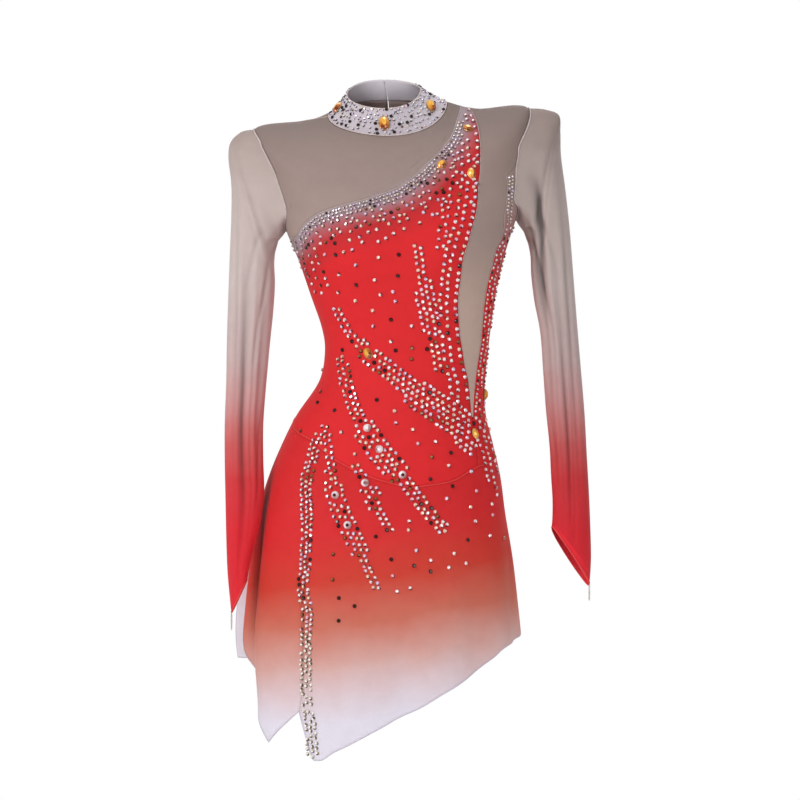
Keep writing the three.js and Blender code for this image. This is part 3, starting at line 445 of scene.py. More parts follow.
# Length down the dress at each level: the mean of its front line and its two side lines
DOWN = np.mean([lengths(dress(turn, LEVELS)) for turn in (-90, 0, 90)], axis=0)


def fill_panel(*edges):
    """Turn and level net of a panel: each pair of facing edges is blended across it, the two blends
    are added, and the blend of the four corners is taken away; levels count as lengths down."""
    top, bottom, left, right = (
        np.stack([edge[:, 0], np.interp(edge[:, 1], LEVELS, DOWN)], -1) for edge in edges)
    u = np.linspace(0, 1, len(top))[:, None, None]
    v = np.linspace(0, 1, len(left))[None, :, None]
    net = ((1 - v) * top[:, None] + v * bottom[:, None] + (1 - u) * left[None] + u * right[None]
           - (1 - u) * (1 - v) * top[0] - u * (1 - v) * top[-1] - (1 - u) * v * bottom[0] - u * v * bottom[-1])
    net[..., 1] = np.interp(net[..., 1], DOWN, LEVELS)
    return net


def draw_in(net, surface, gap=0.16):
    """Moves each edge of a net inwards by the gap, in mm square to the edge."""
    points, result = surface(net[..., 0], net[..., 1]), net.copy()
    for axis in (0, 1):
        for end, beside in ((0, 1), (-1, -2)):
            here, toward = np.take(points, end, axis), np.take(points, beside, axis)
            along, step = np.gradient(here, axis=0), toward - here
            length = np.linalg.norm(step, axis=-1) + 1e-9
            sine = np.linalg.norm(np.cross(step, along), axis=-1) / (
                length * np.linalg.norm(along, axis=-1) + 1e-9)
            share = np.minimum(gap / np.clip(sine, 0.15, None) / length, 0.8)[:, None]
            index = (end, slice(None)) if axis == 0 else (slice(None), end)
            result[index] += (np.take(net, beside, axis) - np.take(net, end, axis)) * share
    return result


def panel(name, net, material, slot, surface=dress, floats=None):
    """One cut and sewn piece on the dress form, drawn in at its seams."""
    net = draw_in(net, surface)
    points = surface(net[..., 0], net[..., 1])
    values = {key: make(points, net) for key, make in (floats or {}).items()}
    normals = outward(surface, net[..., 0], net[..., 1])
    wear(cloth_piece(name, points, normals, floats=values), material, slot)


def away_from(line):
    """Distance of points from the nearest point of a line on the dress, in metres."""
    at = dress(*line.T)
    return lambda points, net: np.sqrt(((points.reshape(-1, 1, 3) - at[::2]) ** 2).sum(-1).min(1)) * MM


neck_front = spread([(-90, 0), (-45, 0), (0, 0), (45, 0), (90, 0)], 12)
shoulder_right = spread([(-90, SHOULDER), (-90, 1), (-90, 0)], 5)
yoke_shoulder = passes(90.0, YOKE_SHOULDER_X, 0, 0, SHOULDER)
slash_shoulder = passes(90.0, SLASH_SHOULDER_X, 0, 0, SHOULDER)
slash_top = spread([slash_shoulder, (90, SHOULDER)], 4)
armhole_right = spread([(-90, SHOULDER), *seen_on(dress, ARMHOLE_RIGHT), (-90, UNDERARM)], 12)
armhole_left = spread([(90, SHOULDER), *seen_on(dress, ARMHOLE_LEFT), (90, UNDERARM)], 12)
yoke_side, basque_right = passes(-90.0, YOKE_SIDE_Z), passes(-90.0, BASQUE_RIGHT_Z)
basque_left = passes(90.0, BASQUE_LEFT_Z)
side_above_yoke = spread([(-90, UNDERARM), yoke_side], 2)
side_right = spread([yoke_side, (-90, (yoke_side[1] + basque_right[1]) / 2), basque_right], 25)
side_left = spread([(90, UNDERARM), (90, (UNDERARM + basque_left[1]) / 2), basque_left], 11)
yoke_edge = spread([yoke_side, *seen_on(dress, YOKE_EDGE), yoke_shoulder], 17)
slash_inner = spread([slash_shoulder, *seen_on(dress, SLASH_INNER)], 20)
slash_outer = spread(seen_on(dress, SLASH_OUTER), 13)
basque_line = np.array([basque_right, *seen_on(dress, BASQUE_FRONT), basque_left])
basque_front_right = spread(basque_line[:2], 5)
basque_front_main = spread(basque_line[1:11], 12)
basque_front_side = spread(basque_line[10:], 4)
slash_to_basque = spread([slash_outer[-1], basque_line[10]], 4)

RED = (217, 43, 47)
nude_mesh, shader, place, uv = new_material("nude_mesh", sheen_weight=0.06, specular_ior_level=0.25)
nude = place.part(2).stops((-0.45, (206, 180, 166)), (-0.25, (192, 166, 153)), (-0.16, (166, 144, 137)),
                           (-0.055, (152, 131, 125)), (-0.01, (134, 115, 109)), (0.03, (126, 108, 102)))
knit(shader, place, uv, nude, 0.8, 0.48, 0.35, 0.6, 0.95)
red_knit, shader, place, uv = new_material("red_knit", specular_ior_level=0.08)
faded = (place.attribute("from_yoke") + place.noise(20) * 0.012 - 0.006).stops(
    (0.0, (166, 152, 158)), (0.012, (160, 134, 142)), (0.026, (178, 90, 95)), (0.040, (192, 46, 50)),
    (0.070, RED))
knit(shader, place, uv, faded, 0.7, 0.55, 0.35, 0.8)

neck_to_yoke = spread([(90, 0), yoke_shoulder], 14)
panel("yoke_front_cloth", fill_panel(join(shoulder_right, neck_front), yoke_edge,
                                     join(armhole_right, side_above_yoke), neck_to_yoke),
      nude_mesh, "nude_mesh")
panel("bodice_front_cloth", fill_panel(
    yoke_edge, join(basque_front_right, basque_front_main), side_right,
    join(straight(yoke_shoulder, slash_shoulder), slash_inner, slash_to_basque)),
      red_knit, "red_stretch", floats={"from_yoke": away_from(yoke_edge)})
panel("slash_front_cloth", fill_panel(
    slash_top, spread([slash_inner[-1], slash_outer[-1]], 4), slash_inner,
    join(armhole_left[:6 * FINE + 1], straight(armhole_left[6 * FINE], slash_outer[0]), slash_outer)),
      nude_mesh, "nude_mesh")
side_knit, shader, place, uv = new_material("side_knit", specular_ior_level=0.08)
knit(shader, place, uv, (place.part(2) + place.noise(20) * 0.012).stops(
    (-0.225, RED), (-0.175, (190, 74, 76)), (-0.135, (172, 136, 134)), (-0.105, (160, 140, 136)),
    (0.03, (140, 120, 115))), 0.7, 0.55, 0.35)
panel("bodice_side_cloth", fill_panel(
    spread([slash_outer[0], armhole_left[6 * FINE]], 4), basque_front_side,
    join(slash_outer, slash_to_basque), join(armhole_left[6 * FINE:], side_left)),
      side_knit, "red_stretch")


# Back of the body: two plain halves, dyed from nude at the shoulders to red below the armholes as the
# side panel is. They meet at a concealed closure down the middle.
def turned_back(line, side):
    """The same edge on the back half: the turn is mirrored in the side line."""
    return np.stack([side * 180 - line[:, 0], line[:, 1]], -1)


back_seam = np.array([passes(turn, z) for turn, z in BASQUE_BACK])
back_seam_right = spread([basque_right, *back_seam[:3]], 11)
back_seam_left = spread([*back_seam[2:], (-270, basque_left[1])], 12)
one_turn = np.array([360.0, 0])
steps_down = np.append(np.arange(0.0, back_seam[2][1] - 0.3), back_seam[2][1])
closure_right = spread(np.stack([np.full(len(steps_down), -179.8), steps_down], -1), 39)
closure_left = spread(np.stack([np.full(len(steps_down), -180.2), steps_down], -1), 23)
panel("back_right_cloth", fill_panel(
    join(shoulder_right, spread([(-90, 0), (-135, 0), (-179.8, 0)], 6)),
    np.concatenate([back_seam_right[:-1], closure_right[-1:]]),
    join(turned_back(armhole_right, -1), side_above_yoke, side_right), closure_right),
      side_knit, "back_cloth")
shoulder_left = join(straight((90, 0), yoke_shoulder), straight(yoke_shoulder, slash_shoulder), slash_top)
panel("back_left_cloth", fill_panel(
    join(spread([(-180.2, 0), (-225, 0), (-270, 0)], 6), shoulder_left - one_turn),
    np.concatenate([closure_left[-1:], back_seam_left[1:]]), closure_left,
    join(turned_back(armhole_left, 1) - one_turn, side_left - one_turn)),
      side_knit, "back_cloth")


# Skirt: a slanted main panel and a side panel with its own point in front, and a plain back whose
# right edge is open. It is a soft flowing knit, sewn to the basque seam and dyed from red to lilac.
SKIRT_SPLIT = [(-107, -466), (-112, -493), (-115, -548), (-116, -603), (-119, -644), (-119, -685),
               (-119, -740), (-122, -795), (-125, -810)]
SIDE_HEM = [(-151, -834), (-138, -822), (-125, -810)]
NOTCH_EDGE = [(-125, -810), (-121, -826), (-116, -844), (-111, -863), (-105, -877)]
MAIN_HEM = [(-105, -877), (-93, -877), (-78, -867), (-55, -856), (-12, -833), (14, -818), (41, -806),
            (71, -788), (101, -769), (140, -738), (162, -720)]
BACK_HEM = [(-98, -738), (-110, -741), (-130, -738), (-155, -731), (-180, -725), (-205, -719),
            (-230, -713), (-255, -706), (-270, -704)]
# Free edge of the side panel from the slit down to its point: turn and height
SIDE_EDGE = [(-89.5, -668), (-88, -700), (-84, -724), (-78, -744), (-73, -764), (-68, -788), (-63, -810),
             (-58, -826), (-53, -841)]
SIDE_SLIT_Z, LEFT_HEM_Z, BACK_FLARE = -600, -704, 12


def skirt_back_form(turn, level):
    """The dress form, sprung out beside the open right edge by a bell of turn times a ramp of height."""
    point = dress(turn, level)
    down = np.clip((SIDE_SLIT_Z - point[..., 2]) / 60, 0, 1)
    point[..., 0] -= BACK_FLARE * down * bell((turn + 92) / 14)
    return point


split = spread([basque_line[1], *seen_on(dress, SKIRT_SPLIT)], 16)
slit_end, left_hem = passes(-90.0, SIDE_SLIT_Z), passes(90.0, LEFT_HEM_Z)
side_seam = spread([basque_right, (-90, (basque_right[1] + slit_end[1]) / 2), slit_end], 7)
free_edge = np.array([passes(turn, z) for turn, z in SIDE_EDGE])
side_edge = spread([slit_end, *free_edge], 9)
left_seam = spread([basque_left, (90, (basque_left[1] + left_hem[1]) / 2), left_hem], 20)
side_hem = spread([free_edge[-1], *seen_on(dress, SIDE_HEM)], 5)
main_hem = spread([*seen_on(dress, MAIN_HEM), left_hem], 16)
notch = spread(seen_on(dress, NOTCH_EDGE), 4)
back_hem_pairs = np.array([passes(turn, z) for turn, z in BACK_HEM])
back_hem = spread(back_hem_pairs, 23)
edge_drop = back_hem_pairs[0][1] - slit_end[1]
back_edge = spread([slit_end, (-91, slit_end[1] + edge_drop / 3), (-94, slit_end[1] + edge_drop * 2 / 3),
                    back_hem_pairs[0]], 13, skirt_back_form)


def dip_dyed(name, slant, lift, sudden, sheer, painted_glow):
    """Skirt knit whose red gives way to salmon, pink and lilac down its height, which slants by so
    much for each metre across, is lifted by so many metres and changes so many times as suddenly.
    Light from its other side shows through it by the sheer share. The pale cloth glows with painted light:
    an emission by the glow share stands in for light coming through thin cloth. It is painted darker
    down in the folds that its attribute marks, as painted shade."""
    made, shader, place, uv = new_material(name, specular_ior_level=0.08, subsurface_weight=sheer,
                                           subsurface_scale=0.005, subsurface_radius=(1, 1, 1),
                                           emission_strength=painted_glow)
    height = place.part(2) + place.part(0) * slant - lift + place.noise(60) * 0.03 - 0.015
    slanted = (height + 0.68) * sudden - 0.68
    dyed = slanted.stops((-0.800, (218, 212, 226)), (-0.765, (214, 192, 198)), (-0.720, (206, 156, 148)),
                         (-0.672, (196, 106, 88)), (-0.615, (200, 58, 46)), (-0.55, (213, 43, 46)))
    # Painted shade: the colour is darkened where the attribute marks the deep crease beside the side seam.
    knit(shader, place, uv, dyed.shaded(1 - place.attribute("fold") * 0.8), 0.8, 0.5, 0.3)
    # Painted glow: the pale lower part of the cloth emits light by the glow share.
    feed(shader, emission_color=slanted.stops((-0.72, (220, 212, 222)), (-0.62, (0, 0, 0))))
    return made


def fold_shade_mask(points, net):
    """How deep the points lie in the first of the skirt's folds, beside the side seam, the mask of the painted
    shade there: a bell across its turn that fades in and out down the cloth."""
    z, (at, _, _, start) = points[..., 2], SKIRT_FOLDS[0]
    fade = np.clip((start - z) / 50, 0, 1) * np.clip((z + 720) / 90, 0, 1)
    return bell((net[..., 0] - at) / 5) * fade


dyed_front = dip_dyed("dip_dyed_knit", -0.137, 0.0, 1.0, 0.3, 0.0)
dyed_back = dip_dyed("dip_dyed_back", 0.134, 0.045, 1.7, 0.7, 0.32)
panel("skirt_side_cloth", fill_panel(basque_front_right, side_hem, join(side_seam, side_edge), split),
      dyed_front, "skirt_cloth", floats={"fold": fold_shade_mask})
panel("skirt_front_cloth", fill_panel(join(basque_front_main, basque_front_side), main_hem,
                                      join(split, notch), left_seam),
      dyed_front, "skirt_cloth")
panel("skirt_back_cloth", fill_panel(join(back_seam_right, back_seam_left), back_hem,
                                     join(side_seam, back_edge), left_seam - one_turn),
      dyed_back, "skirt_cloth", skirt_back_form)


# Sleeves: long tubes of fine mesh, each cut in one, set into the armholes and dyed from nude to red.
# They end in a slanted cuff whose point lies over the back of the hand.
# Rings of the sleeves: outer x and z and inner x and z as seen, then middle y, half depth, and the
# share of the armhole in the ring
SLEEVE_RIGHT = np.array([
    [-186, -12, -142, -152, 0, 48, 1], [-204, -16, -146, -158, 0, 46, 0.6],
    [-218, -30, -151, -164, 0, 43, 0.3], [-221, -52, -154, -172, 0, 41, 0.12],
    [-217, -88, -157, -183, 0, 39, 0], [-217, -132, -158, -198, -1, 37, 0],
    [-219, -182, -157, -224, -2, 34, 0], [-221, -237, -159, -260, -5, 31, 0],
    [-223, -300, -164, -312, -10, 27, 0], [-224, -360, -169, -364, -17, 24, 0],
    [-226, -415, -173, -416, -25, 22, 0], [-226, -468, -173, -466, -34, 20, 0],
    [-225, -520, -172, -512, -44, 19, 0], [-224, -570, -178, -555, -51, 18, 0],
    [-222, -622, -188, -594, -57, 16, 0], [-217, -674, -195, -629, -61, 14, 0]])
SLEEVE_LEFT = np.array([
    [190, 17, 172, -137, 0, 48, 1], [213, 15, 176, -144, 0, 46, 0.6], [231, 7, 181, -151, 0, 43, 0.3],
    [233, -16, 185, -160, 0, 41, 0.12], [234, -50, 189, -171, 0, 39, 0],
    [240, -96, 192, -188, -1, 37, 0], [246, -152, 193, -214, -2, 34, 0],
    [251, -216, 197, -248, -5, 31, 0], [256, -280, 205, -292, -10, 27, 0],
    [261, -340, 209, -342, -16, 24, 0], [266, -400, 213, -396, -23, 22, 0],
    [269, -455, 218, -446, -30, 20, 0], [272, -508, 220, -486, -37, 19, 0],
    [274, -556, 222, -518, -43, 18, 0], [275, -600, 222, -542, -48, 17, 0],
    [273, -634, 221, -557, -52, 14, 0]])
# Folds: degrees round the sleeve from its outer line, at the fold's start and end; width, depth, and
# the rows where it starts and ends. The first five are in the solid cloth too.
SLEEVE_FOLDS = np.array([
    [8, 150, 22, 2.4, 1, 5], [75, 95, 14, 3.5, 4, 14], [125, 140, 13, 3, 5, 13], [265, 255, 15, 4, 4, 14],
    [330, 215, 18, 6, 1, 5], [40, 62, 8, 3.6, 3, 13], [108, 112, 6, 2.0, 5, 14], [58, 84, 6, 1.8, 7, 15],
    [24, 130, 8, 1.2, 2, 6], [150, 100, 6, 2.2, 4, 9], [200, 170, 7, 2.0, 4, 10], [300, 290, 6, 2.0, 4, 13],
    [130, 70, 6, 2.0, 3, 7], [160, 120, 6, 1.6, 9, 13], [178, 150, 7, 3.5, 2, 5], [164, 128, 5, 2.5, 2, 4.5]])
DEEP_FOLDS = {-1: np.array([[64, 92, 9, 4.3, 5, 14.8]]),
              1: np.array([[97, 126, 13, 7.0, 0.3, 8], [150, 136, 9, 5.0, 2, 8], [84, 92, 5, 2.5, 8, 14]])}
SLEEVE_LIFT = 0.45
CUFF_SAG = {-1: 2.0, 1: 9.5}
CUFF_ROLL_ROW, CUFF_ROLL_RISE = 14.62, 1.2  # a low roll along the front of the left cuff, with a painted highlight on it


def on_sight_line(across, up, y):
    """The point at depth y that is seen at a place in the plane of the shoulders."""
    scale = 1 - y / EYE[1]
    return np.stack([EYE[0] + (across - EYE[0]) * scale, y + 0 * across, EYE[2] + (up - EYE[2]) * scale], -1)


def sleeve_ring(columns, around):
    """Superellipse round a sleeve: its outer line at 0 degrees, its front at 90, its inner line at 180."""
    out_x, out_z, in_x, in_z, mid_y, half_depth = (columns[..., k] for k in range(6))
    c, s = np.cos(np.radians(around)), np.sin(np.radians(around))
    r = (np.abs(s) ** 2.2 + np.abs(c) ** 2.2) ** (-1 / 2.2)
    return on_sight_line((out_x + in_x) / 2 + (out_x - in_x) / 2 * c * r,
                         (out_z + in_z) / 2 + (out_z - in_z) / 2 * c * r, mid_y - half_depth * s * r)


def sleeve_form(table, armhole, side):
    """Net of a sleeve: rings blended into the armhole's edge by the share in the table, and folds drawn in
    towards the ring's middle by depth, times half a sine wave along and a bell across. It also gives a mask
    of painted light: painted shade in the folds and a painted highlight along the roll of the left cuff."""
    edge = join(armhole, turned_back(armhole, side)[::-1])[:-1]
    edge = dress(*edge.T)
    around, level = np.meshgrid(np.arange(len(edge)) * 360 / len(edge), np.linspace(0, len(table) - 1, 106),
                                indexing="ij")
    columns = rows_at(table, level)
    ring = sleeve_ring(columns, around)
    start = sleeve_ring(np.broadcast_to(table[0], (len(edge), 7)), around[:, 0])
    ring += ((edge - start)[:, None] * columns[..., 6:]) * (level < 4)[..., None]
    middle = (sleeve_ring(columns, 0 * around) + sleeve_ring(columns, 0 * around + 180)) / 2
    at, end, width, depth, first, last = np.concatenate([SLEEVE_FOLDS, DEEP_FOLDS[side]]).T
    along = np.clip((level[..., None] - first) / (last - first), 0, 1)
    away = degrees_from(around[..., None], at + (end - at) * along)
    s = np.sin(np.radians(around))
    roll = bell((level - CUFF_ROLL_ROW) / 0.2) * np.clip(s, 0, 1) * (side > 0)
    draw = (depth * np.sin(np.pi * along) * bell(away / width)).sum(-1) - roll * CUFF_ROLL_RISE
    ring += unit(middle - ring) * draw[..., None]
    ring[..., 0] += side * SLEEVE_LIFT
    sag = CUFF_SAG[side] * np.clip(level - 13, 0, 2) ** 2 / 4
    ring[..., 2] -= sag * np.where(s < 0, np.abs(s) ** 0.7, -0.4 * s)
    aside = np.roll(ring, -1, 0) - np.roll(ring, 1, 0)
    normal = np.cross(aside, np.gradient(ring, axis=1)) * side
    # The third value is the mask of painted light: painted shade in the folds, a painted highlight on the cuff
    # roll.
    return ring, unit(normal), np.clip((draw - roll * 4) / 7, -1, 1)


sleeve_mesh, shader, place, uv = new_material("sleeve_mesh", sheen_weight=0.06, specular_ior_level=0.25,
                                              subsurface_weight=0.35, subsurface_scale=0.004,
                                              subsurface_radius=(1, 1, 1))
# The nude is darker towards the top of the cap.
dyed = (place.part(2) + place.noise(45) * 0.02 - 0.01).stops(
    (-0.56, (222, 30, 44)), (-0.49, (212, 52, 58)), (-0.44, (208, 92, 92)), (-0.385, (208, 150, 148)),
    (-0.33, (204, 176, 174)), (-0.22, (206, 188, 184)), (-0.15, (202, 184, 179)),
    (-0.10, (196, 178, 173)), (-0.05, (182, 164, 158)), (0.0, (156, 138, 132)))
# Painted light: the colour is darkened across towards the wearer's left, so the left sleeve has painted shade
# over it; the attribute adds painted shade in the folds and a painted highlight on the cuff roll.
lit = 0.97 - place.part(0) * 0.33 - place.attribute("fold") * 0.66
knit(shader, place, uv, dyed.shaded(lit), 0.8, 0.6, 0.35, 1.2, 0.96)
sleeves = {"right": sleeve_form(SLEEVE_RIGHT, armhole_right, -1),
           "left": sleeve_form(SLEEVE_LEFT, armhole_left, 1)}
for side, (ring, normal, fold) in sleeves.items():
    wear(cloth_piece(f"sleeve_{side}_cloth", ring, normal, around=True, floats={"fold": fold * np.abs(fold)}),
         sleeve_mesh, "sleeve_mesh")


# Briefs: a plain front and back of the red knit, sewn into the basque seam and joined at the sides
# and the crotch. They are out of sight in the photograph.
BRIEFS_CLEARANCE, BRIEFS_SIDE_Z = 3.3, -515
CROTCH_HALF, CROTCH_SHARE, CROTCH_Y, CROTCH_Z = 28, 0.22, 8, -618
LEG_CUT = {"front": (90, -92, -548), "back": (95, 100, -632)}


def bent(first, middle, last, t):
    """A line between two points bent by a third: the curve of second degree with those controls."""
    return first * (1 - t) ** 2 + middle * (2 * t * (1 - t)) + last * t**2


def briefs_form(line, which):
    """Net of half the briefs: a bent line from each point of the waist seam to the leg's edge, which
    runs from the crotch to the side."""
    end = -1 if which == "front" else 1
    top = spread(line, 16)
    share = np.linspace(-1, 1, len(top))[:, None, None]
    t = np.linspace(0, 1, 31)[None, :, None]
    start = dress(*top.T) - outward(dress, *top.T) * BRIEFS_CLEARANCE
    start = (start + [0, end * 0.4, 1.5])[:, None]
    crotch = np.concatenate([CROTCH_HALF * np.sign(share) * np.minimum(np.abs(share) / CROTCH_SHARE, 1),
                             0 * share + CROTCH_Y + end * 0.5, 0 * share + CROTCH_Z], -1)
    sides = [dress(*passes(turn, BRIEFS_SIDE_Z)) for turn in (-90.0, 90.0)]
    side = np.where(share < 0, sides[0], sides[1]) + np.concatenate(
        [-16 * np.sign(share), 0 * share + end * 0.4, 0 * share], -1)
    cut = LEG_CUT[which]
    control = np.concatenate([cut[0] * np.sign(share), 0 * share + cut[1], 0 * share + cut[2]], -1)
    leg = np.maximum((np.abs(share) - CROTCH_SHARE) / (1 - CROTCH_SHARE), 0)
    finish = bent(crotch, control, side, leg)
    middle = (start + finish) / 2
    middle[..., 1:2] = start[..., 1:2] * 0.97 + finish[..., 1:2] * 0.03
    middle[..., 2:3] = start[..., 2:3] * 0.3 + finish[..., 2:3] * 0.7 - 8 * (1 - leg)
    net = bent(start, middle, finish, t)
    normal = np.cross(np.gradient(net, axis=1), np.gradient(net, axis=0)) * -end
    return net, unit(normal)


plain_knit, shader, place, uv = new_material("plain_red_knit", specular_ior_level=0.08)
knit(shader, place, uv, place.noise(12).stops((0.3, (196, 34, 40)), (0.7, (208, 40, 46))), 0.7, 0.55, 0.3)
for which, line in (("front", basque_line), ("back", [basque_right, *back_seam, (-270, basque_left[1])])):
    net, normal = briefs_form(line, which)
    wear(cloth_piece(f"briefs_{which}_cloth", net, normal), plain_knit, "briefs_cloth")


# Seams: the edges of the panels are joined by flat stretch seams that stand up as a thin thread
# line, and the outer edges are rolled and overlocked. Each line is one run of sewn thread.
BEAD_STEP, STITCH = 1.1, 3.3  # mm from ring to ring of a bead, and from stitch to stitch


def thread(pairs, surface, wide, high, lift=0.0, sign=1, waves=0.0, points=None, normals=None):
    """Rounded bead in mm along a line: a half circle of seven points, wide by high, carried along the
    line square to it and to the surface, with its height rippled by a sine wave per stitch."""
    if points is None:
        points = surface(*pairs.T)
        normals = outward(surface, *pairs.T) * sign
    run = lengths(points)
    even = np.linspace(0, run[-1], max(int(run[-1] / BEAD_STEP), 8))
    points, normals = (np.stack([np.interp(even, run, part[:, k]) for k in range(3)], -1)
                       for part in (points, normals))
    aside, normals = unit(np.cross(np.gradient(points, axis=0), normals)), unit(normals)
    angle = np.linspace(-0.35, np.pi + 0.35, 7)
    tall = high * (1 + waves * np.sin(even * 2 * np.pi / STITCH))[:, None, None]
    net = (points[:, None] + normals[:, None] * (lift + np.sin(angle)[:, None] * tall)
           + aside[:, None] * (np.cos(angle)[:, None] * wide / 2))
    rows, count = net.shape[:2]
    index = np.arange(rows * count).reshape(rows, count)
    ring = np.concatenate([index, index[:, :1]], 1)
    faces = np.stack([ring[:-1, :-1], ring[:-1, 1:], ring[1:, 1:], ring[1:, :-1]], -1).reshape(-1, 4)
    return net.reshape(-1, 3), faces[:, ::-1]


def sewn(name, material, slot, *beads):
    """Joins beads into one piece of sewing."""
    starts = np.cumsum([0] + [len(points) for points, faces in beads[:-1]])
    faces = np.concatenate([faces + start for start, (points, faces) in zip(starts, beads)])
    give(new_piece(name, np.concatenate([points for points, faces in beads]), [faces]), material, slot)


def sewing_material(name, colour):
    """Overlocked thread: a strong fine ripple in the bump and a mottled colour."""
    made, shader, place, uv = new_material(name, sheen_weight=0.03, specular_ior_level=0.3)
    grain, fibre = place.noise(1.6), place.noise(0.5)
    mottled = place.noise(5).stops((0.3, tuple(c * 0.9 for c in colour)), (0.7, colour))
    feed(shader, base_color=mottled.shaded(grain * 0.25 + 0.86), roughness=grain * 0.2 + 0.4,
         normal=(grain + fibre * 0.5).bump(0.6, 0.4 * MM))
    return made


pale_thread = sewing_material("pale_thread", (212, 196, 194))
red_thread = sewing_material("red_thread", (232, 62, 62))
lilac_thread = sewing_material("lilac_thread", (206, 196, 212))
nude_thread = sewing_material("nude_thread", (188, 172, 168))
shaded_thread = sewing_material("shaded_thread", (134, 114, 108))
sewn("armhole_sewing", pale_thread, "sleeve_mesh", *(
    thread(join(line, turned_back(line, side)[::-1]), dress, 2.4, 1.0, 0.6, waves=0.2)
    for line, side in ((armhole_right, -1), (armhole_left, 1))))
# A darker thread line beside the right armhole seam, on the body side.
sewn("armhole_allowance", shaded_thread, "nude_mesh",
     thread(armhole_right[2:len(armhole_right) // 2] + [1.6, 0], dress, 2.0, 0.25, 0.05))
cuff_ends = ([np.concatenate([part[:, -1], part[:1, -1]]) for part in (ring, normal)]
             for ring, normal, fold in sleeves.values())
sewn("cuff_sewing", red_thread, "sleeve_mesh", *(
    thread(None, None, 2.4, 1.1, -0.5, waves=0.2, points=points, normals=normals)
    for points, normals in cuff_ends))
sewn("yoke_binding", nude_thread, "nude_mesh",
     thread(yoke_edge[8:], dress, 1.4, 0.6, waves=0.15),
     *(thread(line[:-6], dress, 0.9, 0.35, waves=0.2) for line in (slash_inner, slash_outer)))
collar_turns = np.linspace(-179, 179, 240)
sewn("neck_sewing", pale_thread, "collar_cloth", *(
    thread(np.stack([collar_turns, 0 * collar_turns + level], -1), collar, 2.0, high, 0, -1, 0.2)
    for level, high in ((0.03, 0.8), (0.985, 0.7))))
sewn("shoulder_sewing", pale_thread, "nude_mesh",
     *(thread(line, dress, 1.3, 0.4, waves=0.2) for line in (shoulder_right, slash_top)))
basque_seams = (join(basque_front_right, basque_front_main, basque_front_side),
                join(back_seam_right, back_seam_left))
sewn("body_sewing", red_thread, "red_stretch",
     *(thread(line, dress, 1.9, 0.85, waves=0.2) for line in basque_seams),
     *(thread(line, dress, 1.2, 0.35, waves=0.2) for line in (side_right, side_left, side_seam, left_seam)),
     thread(slash_to_basque, dress, 0.8, 0.3, waves=0.2))
hems = ((join(side_edge, side_hem), dress), (join(notch, main_hem), dress),
        (back_hem, skirt_back_form), (back_edge, skirt_back_form))
sewn("hem_sewing", lilac_thread, "skirt_cloth",
     *(thread(line, surface, 1.5, 0.4, -0.3, waves=0.15) for line, surface in hems))


# Amber stones: faceted ovals of cast glass with a foiled back, three on the collar and six on the
# body, each in a low metal claw setting that is sewn through the cloth.
# Each stone: across and up as seen; width, length and height; lean in degrees; how deep it sinks in
AMBER_ON_COLLAR = np.array([[-71, 16, 10, 18, 5, 10, 0], [-8, -5, 13, 18, 5.5, 8, 0],
                            [56, 19, 12, 19, 5.5, -12, 0]])
AMBER_ON_BODY = np.array([[107, -12, 10, 14, 4.5, 60, 0.2], [71, -61, 10, 14, 4.5, -35, 0.7],
                          [112, -73, 10, 14, 4.5, 0, 1.2], [-30, -320, 10, 14, 4.5, 30, 0.1],
                          [116, -430, 10, 14, 4.5, 20, 0.1], [129, -376, 10, 14, 4.5, -20, 0.1]])
chance = np.random.default_rng(7)


